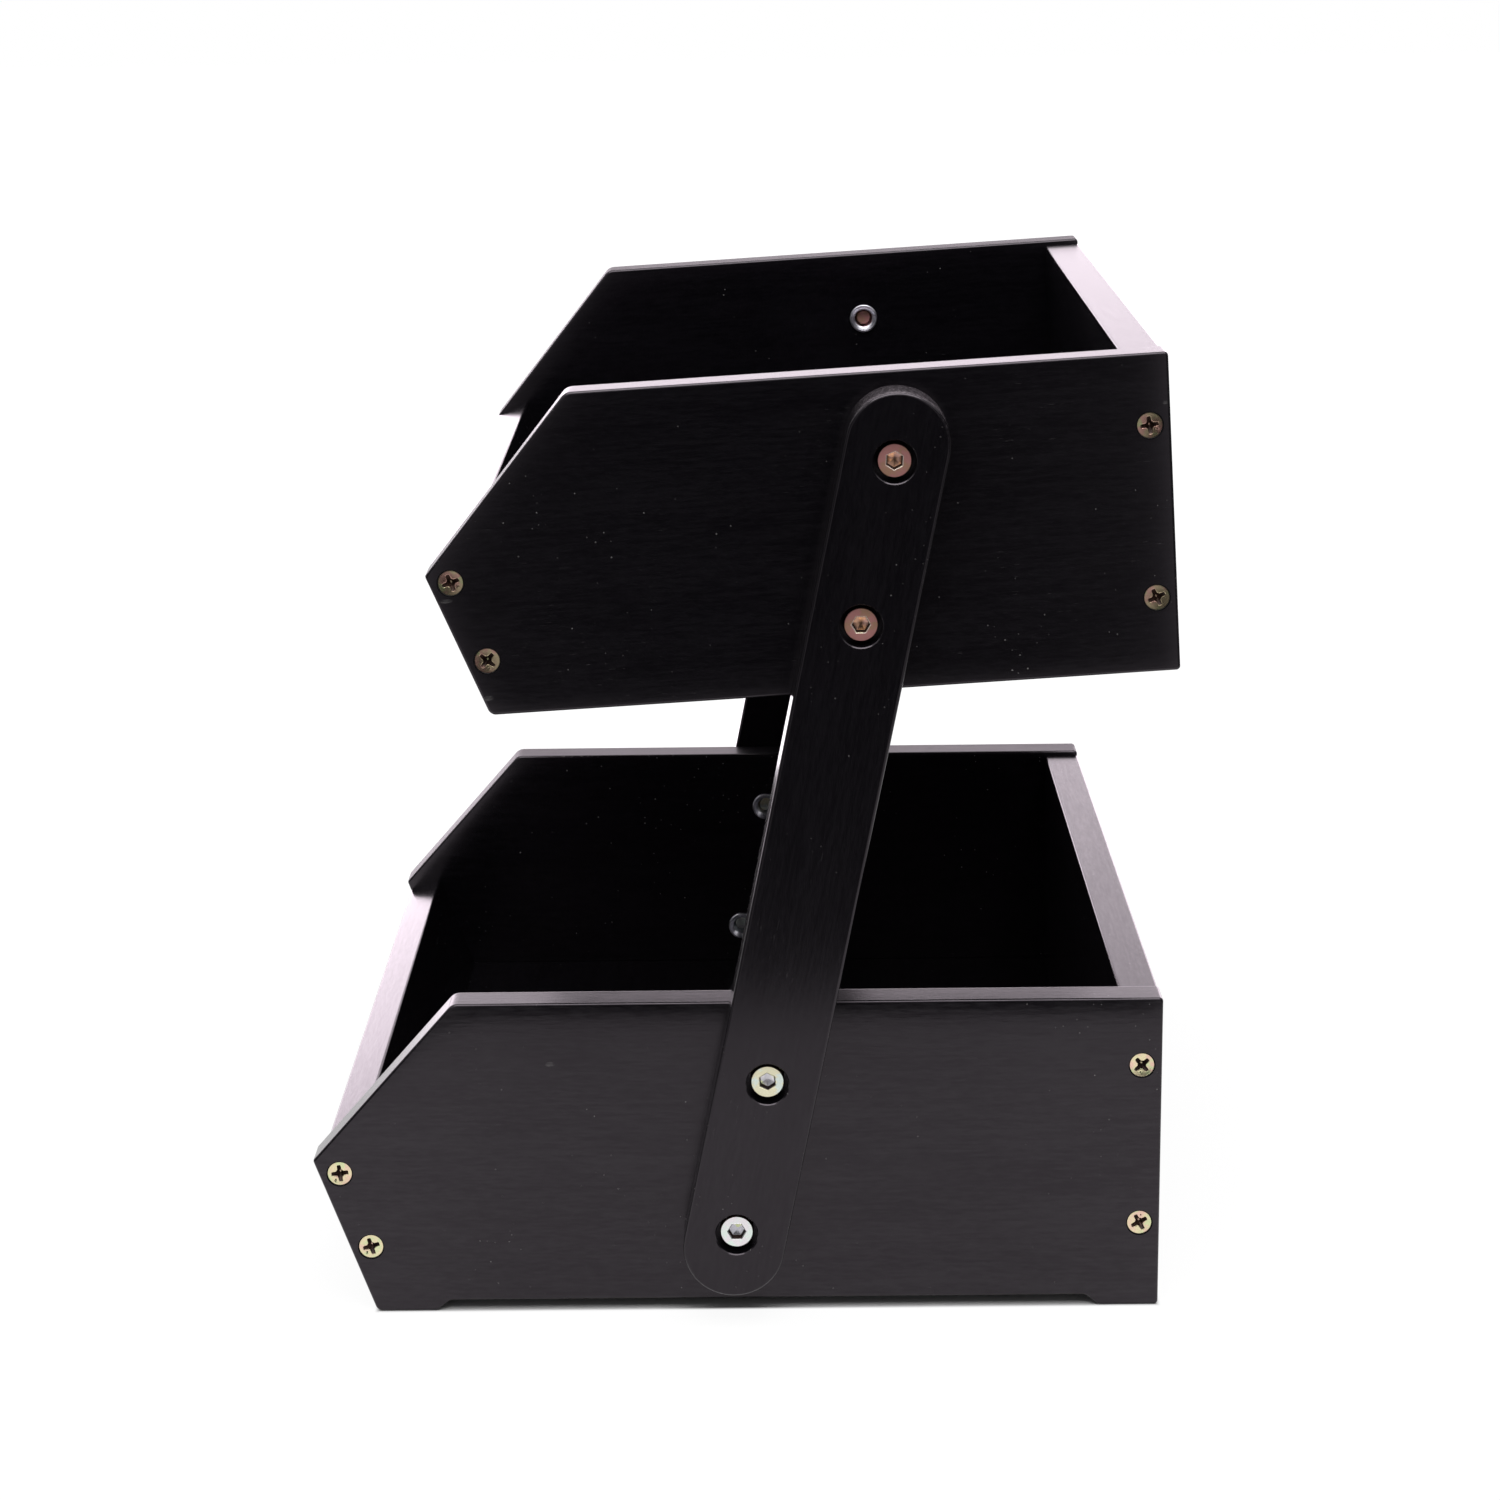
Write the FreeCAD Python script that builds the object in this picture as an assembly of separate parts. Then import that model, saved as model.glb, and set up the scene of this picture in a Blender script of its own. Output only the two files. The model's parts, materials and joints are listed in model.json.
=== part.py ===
"""Two-tier open bin organiser in black-stained wood.

A larger bin stands on the surface. A smaller bin is held above it, tipped a little to the front, by
two flat arms that lean back. Every board is a separate solid. Countersunk wood screws run through
the side boards into the ends of the front and back boards, each bottom board lies in grooves, and
the arms are bolted to the side boards through threaded inserts set from inside the bins.

Millimetres. +Z is up, the front of the object faces -Y, and the arms are on the +X and -X sides. The
origin is on the surface that the object stands on, under the middle of its bounding box.
"""
import FreeCAD, Part
import math
import os

# ---- boards ---------------------------------------------------------------------------------
BIN_WIDTH = 305.0            # outside width of both bins, over the side boards
BOARD_THICKNESS = 12.0       # side, front and back boards
BOTTOM_THICKNESS = 6.0       # bottom boards
EDGE_EASE = 0.8              # rounding along the boards' long edges
FRONT_SLANT = 20.0           # degrees that each front board leans forward
TOP_CHAMFER = 48.5           # degrees from level of the side boards' cut front corner
SHOULDER_RADIUS = 4.0        # rounding where that cut meets the top edge
FRONT_FOOT_RADIUS = 2.5      # rounding of the side boards' lower front corner
FRONT_BOARD_HEIGHT = 45.0    # measured up the slope
BACK_BOARD_DROP = 1.6        # back board's top edge below the side boards' top edge

# ---- lower bin, from its rear face forward and from the surface up ----------------------------
LOWER_DEPTH = 254.0          # rear face to the side boards' foremost corner
LOWER_HEIGHT = 97.5
LOWER_LIP_HEIGHT = 48.7      # height of that foremost corner
FOOT_HEIGHT = 3.3            # relief under the side boards, between the feet
FOOT_LENGTH = 18.0
FOOT_RAMP = 4.0              # run of the relief's sloping ends
FOOT_RAMP_RADIUS = 3.0

# ---- upper bin, in its own level frame --------------------------------------------------------
UPPER_DEPTH = 215.5
UPPER_HEIGHT = 92.5
UPPER_LIP_HEIGHT = 42.2
UPPER_TILT = 3.3             # degrees that the upper bin tips to the front

# ---- bottom boards in their grooves -----------------------------------------------------------
BOTTOM_LIFT = 7.0            # underside above the front and back boards' lower edges
GROOVE_DEPTH = 5.0
GROOVE_CLEARANCE = 0.15      # all round the bottom board

# ---- arms -------------------------------------------------------------------------------------
ARM_WIDTH = 30.0
ARM_THICKNESS = 15.5
ARM_LEAN = 11.5              # degrees back from upright
ARM_END_MARGIN = 19.6        # outermost bolt to the arm's end
ARM_EDGE_EASE = 0.9
BOLT_PITCH = 48.0            # between the two bolts of one bin
BIN_SPACING = 140.0          # between the two bins' nearest bolts
LOWER_BOLT_SETBACK = 127.0   # lowest bolt, forward of the lower bin's rear face
LOWER_BOLT_HEIGHT = 30.1     # lowest bolt, above the surface
UPPER_BOLT_SETBACK = 91.5    # upper bin's lower bolt, forward of that bin's rear face
UPPER_BOLT_HEIGHT = 22.5     # upper bin's lower bolt, above that bin's underside

# ---- arm bolts and threaded inserts -----------------------------------------------------------
BOLT_DIAMETER = 6.0
BOLT_LENGTH = 16.0           # under the head
BOLT_HEAD_DIAMETER = 10.0
BOLT_HEAD_HEIGHT = 6.0
BOLT_HEAD_CHAMFER = 0.35
SOCKET_WIDTH = 5.0           # hexagon socket across its flats
SOCKET_DEPTH = 3.2
SOCKET_MOUTH = 0.35          # chamfer round the socket's mouth
SOCKET_TURNS = (30.0, 4.0, 30.0, -2.5)   # degrees, from the lowest bolt to the highest
COUNTERBORE_DIAMETER = 12.4
COUNTERBORE_DEPTH = 8.5
COUNTERBORE_EASE = 0.3       # chamfer round its mouth
BOLT_CLEARANCE = 0.2         # radial, in the arm and the side board
THREAD_CLEARANCE = 0.05      # radial, in the threaded insert
INSERT_DIAMETER = 8.6
INSERT_LENGTH = 10.0
INSERT_FLANGE_DIAMETER = 10.0
INSERT_FLANGE_THICKNESS = 1.0
INSERT_LIP = 0.25            # flat rim round the flange's dished mouth
INSERT_DISH_DEPTH = 1.3      # dished mouth, from the flange's face to the bore
INSERT_CLEARANCE = 0.05      # radial, in its bore

# ---- wood screws ------------------------------------------------------------------------------
SCREW_HEAD_DIAMETER = 7.8
SCREW_HEAD_RIM = 0.5         # straight rim above the cone
SCREW_HEAD_SINK = 0.2        # head's face below the side board's face
SCREW_DIAMETER = 4.0
SCREW_LENGTH = 32.0          # over all
SCREW_TIP_LENGTH = 5.0
SCREW_CLEARANCE = 0.08       # all round, in the side board and the board it holds
RECESS_SPAN = 4.4            # cross recess, over its wings
RECESS_WING = 1.1
RECESS_DEPTH = 2.4
RECESS_FLOOR = 0.7           # radius of the recess's floor
SCREW_PITCH_FRONT = 25.0     # between the two screws of a front board, up the slope
SCREW_PITCH_BACK = 50.0      # between the two screws of a back board
LOWER_FRONT_SCREW = 16.6     # lower screw, up the slope from the front board's lower edge
LOWER_BACK_SCREW = 23.2      # lower screw, above the back board's lower edge
LOWER_SCREW_TURNS = (18.0, 8.0, 30.0, 39.0)   # degrees: front low, front high, back low, back high
UPPER_FRONT_SCREW = 15.1
UPPER_BACK_SCREW = 21.8
UPPER_SCREW_TURNS = (52.0, 19.0, 24.0, 3.0)

CORNER_RADIUS = 1.5 * EDGE_EASE   # boards' small outline corners, kept rounder than their edges
X_AXIS = FreeCAD.Vector(1, 0, 0)
Z_AXIS = FreeCAD.Vector(0, 0, 1)
CENTRE = FreeCAD.Vector(0, 0, 0)
OUTER_FACE = BIN_WIDTH / 2.0
INNER_FACE = OUTER_FACE - BOARD_THICKNESS


# ---- outlines in the Y-Z plane ----------------------------------------------------------------
def rounded_face(corners, x):
    """Face in the plane at x, bounded by (y, z, corner radius) points."""
    points = [FreeCAD.Vector(x, y, z) for y, z, _ in corners]
    edges = []
    first = last = None
    for index, (_, _, radius) in enumerate(corners):
        corner = points[index]
        back = (points[index - 1] - corner).normalize()
        ahead = (points[(index + 1) % len(points)] - corner).normalize()
        half_angle = back.getAngle(ahead) / 2.0
        start = corner
        end = corner
        if radius > 0.0:
            start = corner + back * (radius / math.tan(half_angle))
            end = corner + ahead * (radius / math.tan(half_angle))
            middle = corner + (back + ahead).normalize() * (radius / math.sin(half_angle) - radius)
        if last is not None:
            edges.append(Part.makeLine(last, start))
        if radius > 0.0:
            edges.append(Part.Arc(start, middle, end).toShape())
        if first is None:
            first = start
        last = end
    edges.append(Part.makeLine(last, first))
    return Part.Face(Part.Wire(edges))


def eased(solid, radius, *planes):
    """Round the outline edges that lie in the given x planes."""
    edges = []
    for edge in solid.Edges:
        box = edge.BoundBox
        if any(abs(box.XMin - x) < 1e-6 and abs(box.XMax - x) < 1e-6 for x in planes):
            edges.append(edge)
    return solid.makeFillet(radius, edges)


def long_edges_eased(board, radius):
    """Round a board's edges that run along X, and leave its ends square."""
    edges = [edge for edge in board.Edges if edge.BoundBox.XLength > board.BoundBox.XLength / 2.0]
    return board.makeFillet(radius, edges)


class Bin:
    """One bin in its own frame: rear face at y = 0, underside at z = 0, centred on x = 0."""

    def __init__(self, name, depth, height, lip_height, lift, front_screw, back_screw):
        slant = math.radians(FRONT_SLANT)
        self.name = name
        self.depth = depth
        self.height = height
        self.lip_height = lip_height
        self.lift = lift
        self.front_screw = front_screw
        self.back_screw = back_screw
        self.foot_depth = depth - lip_height * math.tan(slant)
        self.shoulder_depth = depth - (height - lip_height) / math.tan(math.radians(TOP_CHAMFER))
        self.up_slope = FreeCAD.Vector(0, -math.sin(slant), math.cos(slant))
        self.inward = FreeCAD.Vector(0, math.cos(slant), math.sin(slant))
        self.front_foot = FreeCAD.Vector(0, -self.foot_depth, 0) + self.up_slope * (lift / math.cos(slant))
        self.back_top = height - BACK_BOARD_DROP

    def side_board(self):
        """Right side board: cut front corner, leaning front edge and, where it stands, two feet."""
        corners = [
            (0.0, 0.0, CORNER_RADIUS),
            (0.0, self.height, CORNER_RADIUS),
            (-self.shoulder_depth, self.height, SHOULDER_RADIUS),
            (-self.depth, self.lip_height, CORNER_RADIUS),
            (-self.foot_depth, 0.0, FRONT_FOOT_RADIUS),
        ]
        if self.lift > 0.0:
            corners += [
                (-self.foot_depth + FOOT_LENGTH, 0.0, CORNER_RADIUS),
                (-self.foot_depth + FOOT_LENGTH + FOOT_RAMP, self.lift, FOOT_RAMP_RADIUS),
                (-FOOT_LENGTH - FOOT_RAMP, self.lift, FOOT_RAMP_RADIUS),
                (-FOOT_LENGTH, 0.0, CORNER_RADIUS),
            ]
        board = rounded_face(corners, INNER_FACE).extrude(X_AXIS * BOARD_THICKNESS)
        return eased(board, EDGE_EASE, INNER_FACE, OUTER_FACE)

    def front_board(self):
        """Leaning board between the side boards, with square-cut edges."""
        foot = self.front_foot
        across = self.inward * BOARD_THICKNESS
        rise = self.up_slope * FRONT_BOARD_HEIGHT
        corners = [(p.y, p.z, 0.0) for p in (foot, foot + across, foot + across + rise, foot + rise)]
        board = rounded_face(corners, -INNER_FACE).extrude(X_AXIS * (2.0 * INNER_FACE))
        return long_edges_eased(board, EDGE_EASE)

    def back_board(self):
        corners = [
            (-BOARD_THICKNESS, self.lift, 0.0),
            (0.0, self.lift, 0.0),
            (0.0, self.back_top, 0.0),
            (-BOARD_THICKNESS, self.back_top, 0.0),
        ]
        board = rounded_face(corners, -INNER_FACE).extrude(X_AXIS * (2.0 * INNER_FACE))
        return long_edges_eased(board, EDGE_EASE)

    def bottom_board(self, grow=0.0):
        """Bottom board let into grooves on all four sides; grown by a clearance it cuts them."""
        low = self.lift + BOTTOM_LIFT - grow
        high = self.lift + BOTTOM_LIFT + BOTTOM_THICKNESS + grow
        rear = -BOARD_THICKNESS + GROOVE_DEPTH + grow
        front_face = self.front_foot + self.inward * (BOARD_THICKNESS - GROOVE_DEPTH - grow)
        slope = self.up_slope.y / self.up_slope.z
        front_low = front_face.y + (low - front_face.z) * slope
        front_high = front_face.y + (high - front_face.z) * slope
        half_width = INNER_FACE + GROOVE_DEPTH + grow
        corners = [(rear, low, 0.0), (rear, high, 0.0), (front_high, high, 0.0), (front_low, low, 0.0)]
        return rounded_face(corners, -half_width).extrude(X_AXIS * (2.0 * half_width))

    def screw_places(self):
        """Name and centre of each screw's head in the right side board's outer face."""
        face = FreeCAD.Vector(OUTER_FACE, 0, 0)
        front = self.front_foot + self.inward * (BOARD_THICKNESS / 2.0)
        places = []
        for label, step in (("low", 0), ("high", 1)):
            up = self.up_slope * (self.front_screw + step * SCREW_PITCH_FRONT)
            places.append(("front_screw_" + label, face + front + up))
        for label, step in (("low", 0), ("high", 1)):
            z = self.lift + self.back_screw + step * SCREW_PITCH_BACK
            places.append(("back_screw_" + label, face + FreeCAD.Vector(0, -BOARD_THICKNESS / 2.0, z)))
        return places


# ---- turned hardware, built along +Z with its visible face up -----------------------------------
def turned(outline):
    """Solid of revolution about Z from (radius, height) points that start and end on the axis."""
    points = [FreeCAD.Vector(r, 0, z) for r, z in outline]
    wire = Part.makePolygon(points + [points[0]])
    return Part.Face(wire).revolve(CENTRE, Z_AXIS, 360)


def across_board(shape, place):
    """Turn a shape built along +Z to point out of the right side, with its origin at place."""
    turned_shape = shape.copy()
    turned_shape.rotate(CENTRE, FreeCAD.Vector(0, 1, 0), 90)
    turned_shape.translate(place)
    return turned_shape


def screw_body(grow=0.0, open_height=0.0):
    """Countersunk wood screw with its face at z = 0; grown and opened upward it cuts its own hole."""
    head = SCREW_HEAD_DIAMETER / 2.0 + grow
    shank = SCREW_DIAMETER / 2.0 + grow
    cone_end = -SCREW_HEAD_RIM - (head - shank)
    tip = -SCREW_LENGTH - grow
    return turned([
        (0.0, open_height),
        (head, open_height),
        (head, -SCREW_HEAD_RIM),
        (shank, cone_end),
        (shank, tip + SCREW_TIP_LENGTH),
        (0.0, tip),
    ])


def wood_screw(turn):
    """Wood screw with a tapered cross recess, turned by the given angle in degrees."""
    span = RECESS_SPAN / 2.0
    wing = RECESS_WING / 2.0
    taper = Part.makeCone(RECESS_FLOOR, span, RECESS_DEPTH, FreeCAD.Vector(0, 0, -RECESS_DEPTH))
    corner = FreeCAD.Vector(-span, -wing, -RECESS_DEPTH)
    first = Part.makeBox(2.0 * span, 2.0 * wing, RECESS_DEPTH, corner)
    second = first.copy()
    second.rotate(CENTRE, Z_AXIS, 90)
    recess = first.fuse(second).common(taper)
    screw = screw_body().cut(recess)
    screw.rotate(CENTRE, Z_AXIS, turn)
    return screw


def arm_bolt(turn):
    """Socket-head bolt turned by degrees: underside of the head at z = 0, shank downward."""
    head = BOLT_HEAD_DIAMETER / 2.0
    shank = BOLT_DIAMETER / 2.0
    chamfer = BOLT_HEAD_CHAMFER
    bolt = turned([
        (0.0, BOLT_HEAD_HEIGHT),
        (head - chamfer, BOLT_HEAD_HEIGHT),
        (head, BOLT_HEAD_HEIGHT - chamfer),
        (head, 0.0),
        (shank, 0.0),
        (shank, -BOLT_LENGTH + chamfer),
        (shank - chamfer, -BOLT_LENGTH),
        (0.0, -BOLT_LENGTH),
    ])
    corner_radius = SOCKET_WIDTH / math.sqrt(3.0)
    floor = BOLT_HEAD_HEIGHT - SOCKET_DEPTH
    angles = [math.radians(60 * step) for step in range(7)]
    points = [FreeCAD.Vector(corner_radius * math.cos(a), corner_radius * math.sin(a), floor) for a in angles]
    socket = Part.Face(Part.makePolygon(points)).extrude(Z_AXIS * SOCKET_DEPTH)
    drill_point = Part.makeCone(0.0, SOCKET_WIDTH / 2.0, SOCKET_WIDTH / 4.0, CENTRE)
    drill_point.translate(FreeCAD.Vector(0, 0, floor - SOCKET_WIDTH / 4.0))
    flats = SOCKET_WIDTH / 2.0
    mouth_place = FreeCAD.Vector(0, 0, BOLT_HEAD_HEIGHT - SOCKET_MOUTH)
    mouth = Part.makeCone(flats, flats + 2.0 * SOCKET_MOUTH, SOCKET_MOUTH, mouth_place)
    bolt = bolt.cut(socket.fuse(drill_point)).cut(mouth)
    bolt.rotate(CENTRE, Z_AXIS, turn)
    return bolt


def threaded_insert():
    """Insert with a dished flange: flange's underside at z = 0, body upward into the board."""
    body = INSERT_DIAMETER / 2.0
    flange = INSERT_FLANGE_DIAMETER / 2.0
    bore = BOLT_DIAMETER / 2.0 + THREAD_CLEARANCE
    rim = INSERT_FLANGE_THICKNESS
    outline = [
        (bore, INSERT_LENGTH),
        (body, INSERT_LENGTH),
        (body, 0.0),
        (flange, 0.0),
        (flange, -0.6 * rim),
        (flange - 0.12 * rim, -0.88 * rim),
        (flange - 0.35 * rim, -rim),
        (flange - 0.35 * rim - INSERT_LIP, -rim),
        (bore, INSERT_DISH_DEPTH - rim),
    ]
    return turned(outline)


def rod(radius, low, high):
    """Cylinder along Z from low to high."""
    return Part.makeCylinder(radius, high - low, FreeCAD.Vector(0, 0, low))


# ---- arms ---------------------------------------------------------------------------------------
ARM_LENGTH = 2.0 * ARM_END_MARGIN + 2.0 * BOLT_PITCH + BIN_SPACING
BOLT_STEPS = [0.0, BOLT_PITCH, BOLT_PITCH + BIN_SPACING, 2.0 * BOLT_PITCH + BIN_SPACING]
BOLT_SEAT = OUTER_FACE + ARM_THICKNESS - COUNTERBORE_DEPTH


def arm_direction():
    lean = math.radians(ARM_LEAN)
    return FreeCAD.Vector(0, math.sin(lean), math.cos(lean))


def bolt_places():
    """Bolt centres up the arm, in the plane x = 0."""
    lowest = FreeCAD.Vector(0, -LOWER_BOLT_SETBACK, LOWER_BOLT_HEIGHT)
    return [lowest + arm_direction() * step for step in BOLT_STEPS]


def right_arm():
    """Flat bar with round ends, leaning back, with a counterbored hole for each bolt."""
    half = ARM_WIDTH / 2.0
    low = half - ARM_END_MARGIN
    high = low + ARM_LENGTH - ARM_WIDTH
    corners = [FreeCAD.Vector(OUTER_FACE, y, z) for y, z in ((-half, low), (-half, high), (half, high), (half, low))]
    top = FreeCAD.Vector(OUTER_FACE, 0, high + half)
    foot = FreeCAD.Vector(OUTER_FACE, 0, low - half)
    outline = Part.Wire([
        Part.makeLine(corners[0], corners[1]),
        Part.Arc(corners[1], top, corners[2]).toShape(),
        Part.makeLine(corners[2], corners[3]),
        Part.Arc(corners[3], foot, corners[0]).toShape(),
    ])
    arm = Part.Face(outline).extrude(X_AXIS * ARM_THICKNESS)
    arm = eased(arm, ARM_EDGE_EASE, OUTER_FACE, OUTER_FACE + ARM_THICKNESS)
    arm.rotate(CENTRE, X_AXIS, -ARM_LEAN)
    arm.translate(bolt_places()[0])
    for place in bolt_places():
        arm = arm.cut(bolt_hole(place))
    return arm


def bolt_hole(place):
    """Counterbore and clearance hole through the arm, on through the side board."""
    seat = FreeCAD.Vector(BOLT_SEAT, 0, 0) + place
    radius = COUNTERBORE_DIAMETER / 2.0
    counterbore = rod(radius, 0.0, 2.0 * COUNTERBORE_DEPTH)
    mouth_place = FreeCAD.Vector(0, 0, COUNTERBORE_DEPTH - COUNTERBORE_EASE)
    mouth = Part.makeCone(radius, radius + 2.0 * COUNTERBORE_EASE, 2.0 * COUNTERBORE_EASE, mouth_place)
    clearance = rod(BOLT_DIAMETER / 2.0 + BOLT_CLEARANCE, INNER_FACE - BOLT_SEAT - BOLT_LENGTH, 0.0)
    return across_board(counterbore.fuse(mouth).fuse(clearance), seat)


def insert_bore(place):
    """Bore for a threaded insert, from the side board's inner face."""
    mouth = FreeCAD.Vector(INNER_FACE, 0, 0) + place
    return across_board(rod(INSERT_DIAMETER / 2.0 + INSERT_CLEARANCE, -1.0, INSERT_LENGTH), mouth)


# ---- assembly -----------------------------------------------------------------------------------
def mirrored(shape):
    return shape.mirror(CENTRE, X_AXIS)


def upper_placement():
    """Placement of the upper bin's frame: tipped to the front, its lower bolt on the arm's third."""
    turn = FreeCAD.Rotation(X_AXIS, UPPER_TILT)
    bolt_in_bin = FreeCAD.Vector(0, -UPPER_BOLT_SETBACK, UPPER_BOLT_HEIGHT)
    return FreeCAD.Placement(bolt_places()[2] - turn.multVec(bolt_in_bin), turn)


def place_both(pieces, name, right_shape):
    """Keep a right-hand piece and its mirror image."""
    pieces["right_" + name] = right_shape
    pieces["left_" + name] = mirrored(right_shape)


def build_bin(pieces, spec, placement, bolts, turns):
    """Add one bin's boards, screws and inserts, with every hole cut."""
    side = spec.side_board()
    front = spec.front_board()
    back = spec.back_board()
    groove = spec.bottom_board(GROOVE_CLEARANCE)
    for index, (label, place) in enumerate(spec.screw_places()):
        head_place = place - X_AXIS * SCREW_HEAD_SINK
        hole = across_board(screw_body(SCREW_CLEARANCE, 2.0), head_place)
        side = side.cut(hole)
        if label.startswith("front"):
            front = front.cut(hole).cut(mirrored(hole))
        else:
            back = back.cut(hole).cut(mirrored(hole))
        screw = across_board(wood_screw(turns[index]), head_place)
        screw.Placement = placement.multiply(screw.Placement)
        place_both(pieces, spec.name + "_" + label, screw)
    boards = {"front_board": front.cut(groove), "back_board": back.cut(groove), "bottom_board": spec.bottom_board()}
    for label, board in boards.items():
        board.Placement = placement.multiply(board.Placement)
        pieces[spec.name + "_" + label] = board
    side = side.cut(groove)
    side.Placement = placement.multiply(side.Placement)
    for place in bolts:
        side = side.cut(bolt_hole(place)).cut(insert_bore(place))
    place_both(pieces, spec.name + "_side_board", side)


def build_arms(pieces):
    """Add the arms, their bolts and the inserts that the bolts run into."""
    place_both(pieces, "arm", right_arm())
    for number, place in enumerate(bolt_places(), start=1):
        bolt = across_board(arm_bolt(SOCKET_TURNS[number - 1]), FreeCAD.Vector(BOLT_SEAT, 0, 0) + place)
        place_both(pieces, "arm_bolt_%d" % number, bolt)
        insert = across_board(threaded_insert(), FreeCAD.Vector(INNER_FACE, 0, 0) + place)
        place_both(pieces, "threaded_insert_%d" % number, insert)


def main():
    lower = Bin("lower", LOWER_DEPTH, LOWER_HEIGHT, LOWER_LIP_HEIGHT, FOOT_HEIGHT,
                LOWER_FRONT_SCREW, LOWER_BACK_SCREW)
    upper = Bin("upper", UPPER_DEPTH, UPPER_HEIGHT, UPPER_LIP_HEIGHT, 0.0,
                UPPER_FRONT_SCREW, UPPER_BACK_SCREW)
    pieces = {}
    build_bin(pieces, lower, FreeCAD.Placement(), bolt_places()[:2], LOWER_SCREW_TURNS)
    build_bin(pieces, upper, upper_placement(), bolt_places()[2:], UPPER_SCREW_TURNS)
    build_arms(pieces)
    box = Part.makeCompound(list(pieces.values())).optimalBoundingBox()
    to_origin = FreeCAD.Vector(0, -box.Center.y, 0)
    os.makedirs("parts", exist_ok=True)
    for name, shape in pieces.items():
        placed = shape.copy()
        placed.translate(to_origin)
        placed.exportStep("parts/" + name + ".step")


main()
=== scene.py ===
"""Looks of a two-tier open bin organiser in black-stained wood.

The boards and the arms keep the solids of the frame and get their stained, lacquered finish here.
The wood screws, the arm bolts and the threaded inserts are built again with the recesses, sockets,
knurls and threads of the real hardware, each in the place of its own solid.

Metres. +Z is up, the bins open to the front at -Y, and the right-hand arm is on the +X side.
"""

import json
import math
from functools import cache

import bmesh
import bpy
from bpy.props import FloatProperty, FloatVectorProperty, IntProperty, PointerProperty
from mathutils import Matrix, Vector

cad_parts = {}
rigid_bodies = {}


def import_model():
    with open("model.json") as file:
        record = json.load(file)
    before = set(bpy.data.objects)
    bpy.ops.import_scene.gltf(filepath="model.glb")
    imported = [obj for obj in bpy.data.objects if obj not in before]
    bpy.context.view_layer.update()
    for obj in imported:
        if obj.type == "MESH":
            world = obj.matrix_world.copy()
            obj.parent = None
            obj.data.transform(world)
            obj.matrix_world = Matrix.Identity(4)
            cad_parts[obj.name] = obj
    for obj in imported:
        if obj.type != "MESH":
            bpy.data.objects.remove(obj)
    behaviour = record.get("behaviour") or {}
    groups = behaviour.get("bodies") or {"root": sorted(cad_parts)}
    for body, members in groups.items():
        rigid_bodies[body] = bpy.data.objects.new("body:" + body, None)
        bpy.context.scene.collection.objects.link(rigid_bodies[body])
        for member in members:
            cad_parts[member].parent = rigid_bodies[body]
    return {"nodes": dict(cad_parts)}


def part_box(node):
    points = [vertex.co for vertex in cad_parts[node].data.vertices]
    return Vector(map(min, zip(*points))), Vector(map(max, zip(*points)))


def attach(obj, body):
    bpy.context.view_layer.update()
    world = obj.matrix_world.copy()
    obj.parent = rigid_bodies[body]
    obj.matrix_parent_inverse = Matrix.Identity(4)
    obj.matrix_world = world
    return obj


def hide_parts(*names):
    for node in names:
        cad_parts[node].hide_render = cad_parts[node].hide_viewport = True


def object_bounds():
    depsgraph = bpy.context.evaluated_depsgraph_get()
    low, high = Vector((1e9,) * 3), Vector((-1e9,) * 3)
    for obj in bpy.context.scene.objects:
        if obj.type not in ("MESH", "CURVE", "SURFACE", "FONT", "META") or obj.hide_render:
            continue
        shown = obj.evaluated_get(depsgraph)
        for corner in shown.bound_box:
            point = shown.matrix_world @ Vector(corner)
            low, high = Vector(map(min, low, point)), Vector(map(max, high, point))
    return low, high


for leftover in list(bpy.data.objects):
    bpy.data.objects.remove(leftover)
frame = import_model()
CAD_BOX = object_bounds()

bl_info = {
    "name": "Two-tier bin organiser",
    "version": (1, 0, 0),
    "blender": (4, 5, 0),
    "location": "3D View > Sidebar > Organiser",
    "description": "Stained boards, plated hardware and a pale studio for a two-tier bin organiser",
    "category": "Object",
}

MM = 0.001
PER_MM = (1.0 / MM,) * 3
X_AXIS = (1.0, 0.0, 0.0)
WHITE = (1.0, 1.0, 1.0, 1.0)

SIDES = {"right": 1.0, "left": -1.0}
TIERS = ("lower", "upper")
SIDE_BOARDS = {tier: ["%s_%s_side_board" % (side, tier) for side in SIDES] for tier in TIERS}
CROSS_BOARDS = {tier: ["%s_%s_board" % (tier, kind) for kind in ("front", "back", "bottom")]
                for tier in TIERS}

# Rubbed spots on a side board's face: middle in Y and Z, and half sizes along and across the grain, in mm.
RUB_MARKS = {"right_upper_side_board": ((-83.1, 219.5, 2.0, 0.7), (-71.7, 190.7, 1.6, 0.9),
                                        (122.6, 275.0, 0.8, 0.6)),
             "right_lower_side_board": ((-56.8, 78.6, 1.5, 0.9),)}

# Each screw: turn of its recess, and where the dimple in its face is, both in degrees as seen from
# outside the side board that it holds.
SCREWS = {
    "lower_front_screw_high": (7.0, 236.0),
    "lower_front_screw_low": (17.0, 236.0),
    "lower_back_screw_high": (41.0, 261.0),
    "lower_back_screw_low": (29.0, 78.0),
    "upper_front_screw_high": (22.0, 336.0),
    "upper_front_screw_low": (51.0, 283.0),
    "upper_back_screw_high": (9.0, 334.0),
    "upper_back_screw_low": (26.0, 200.0),
}
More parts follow.
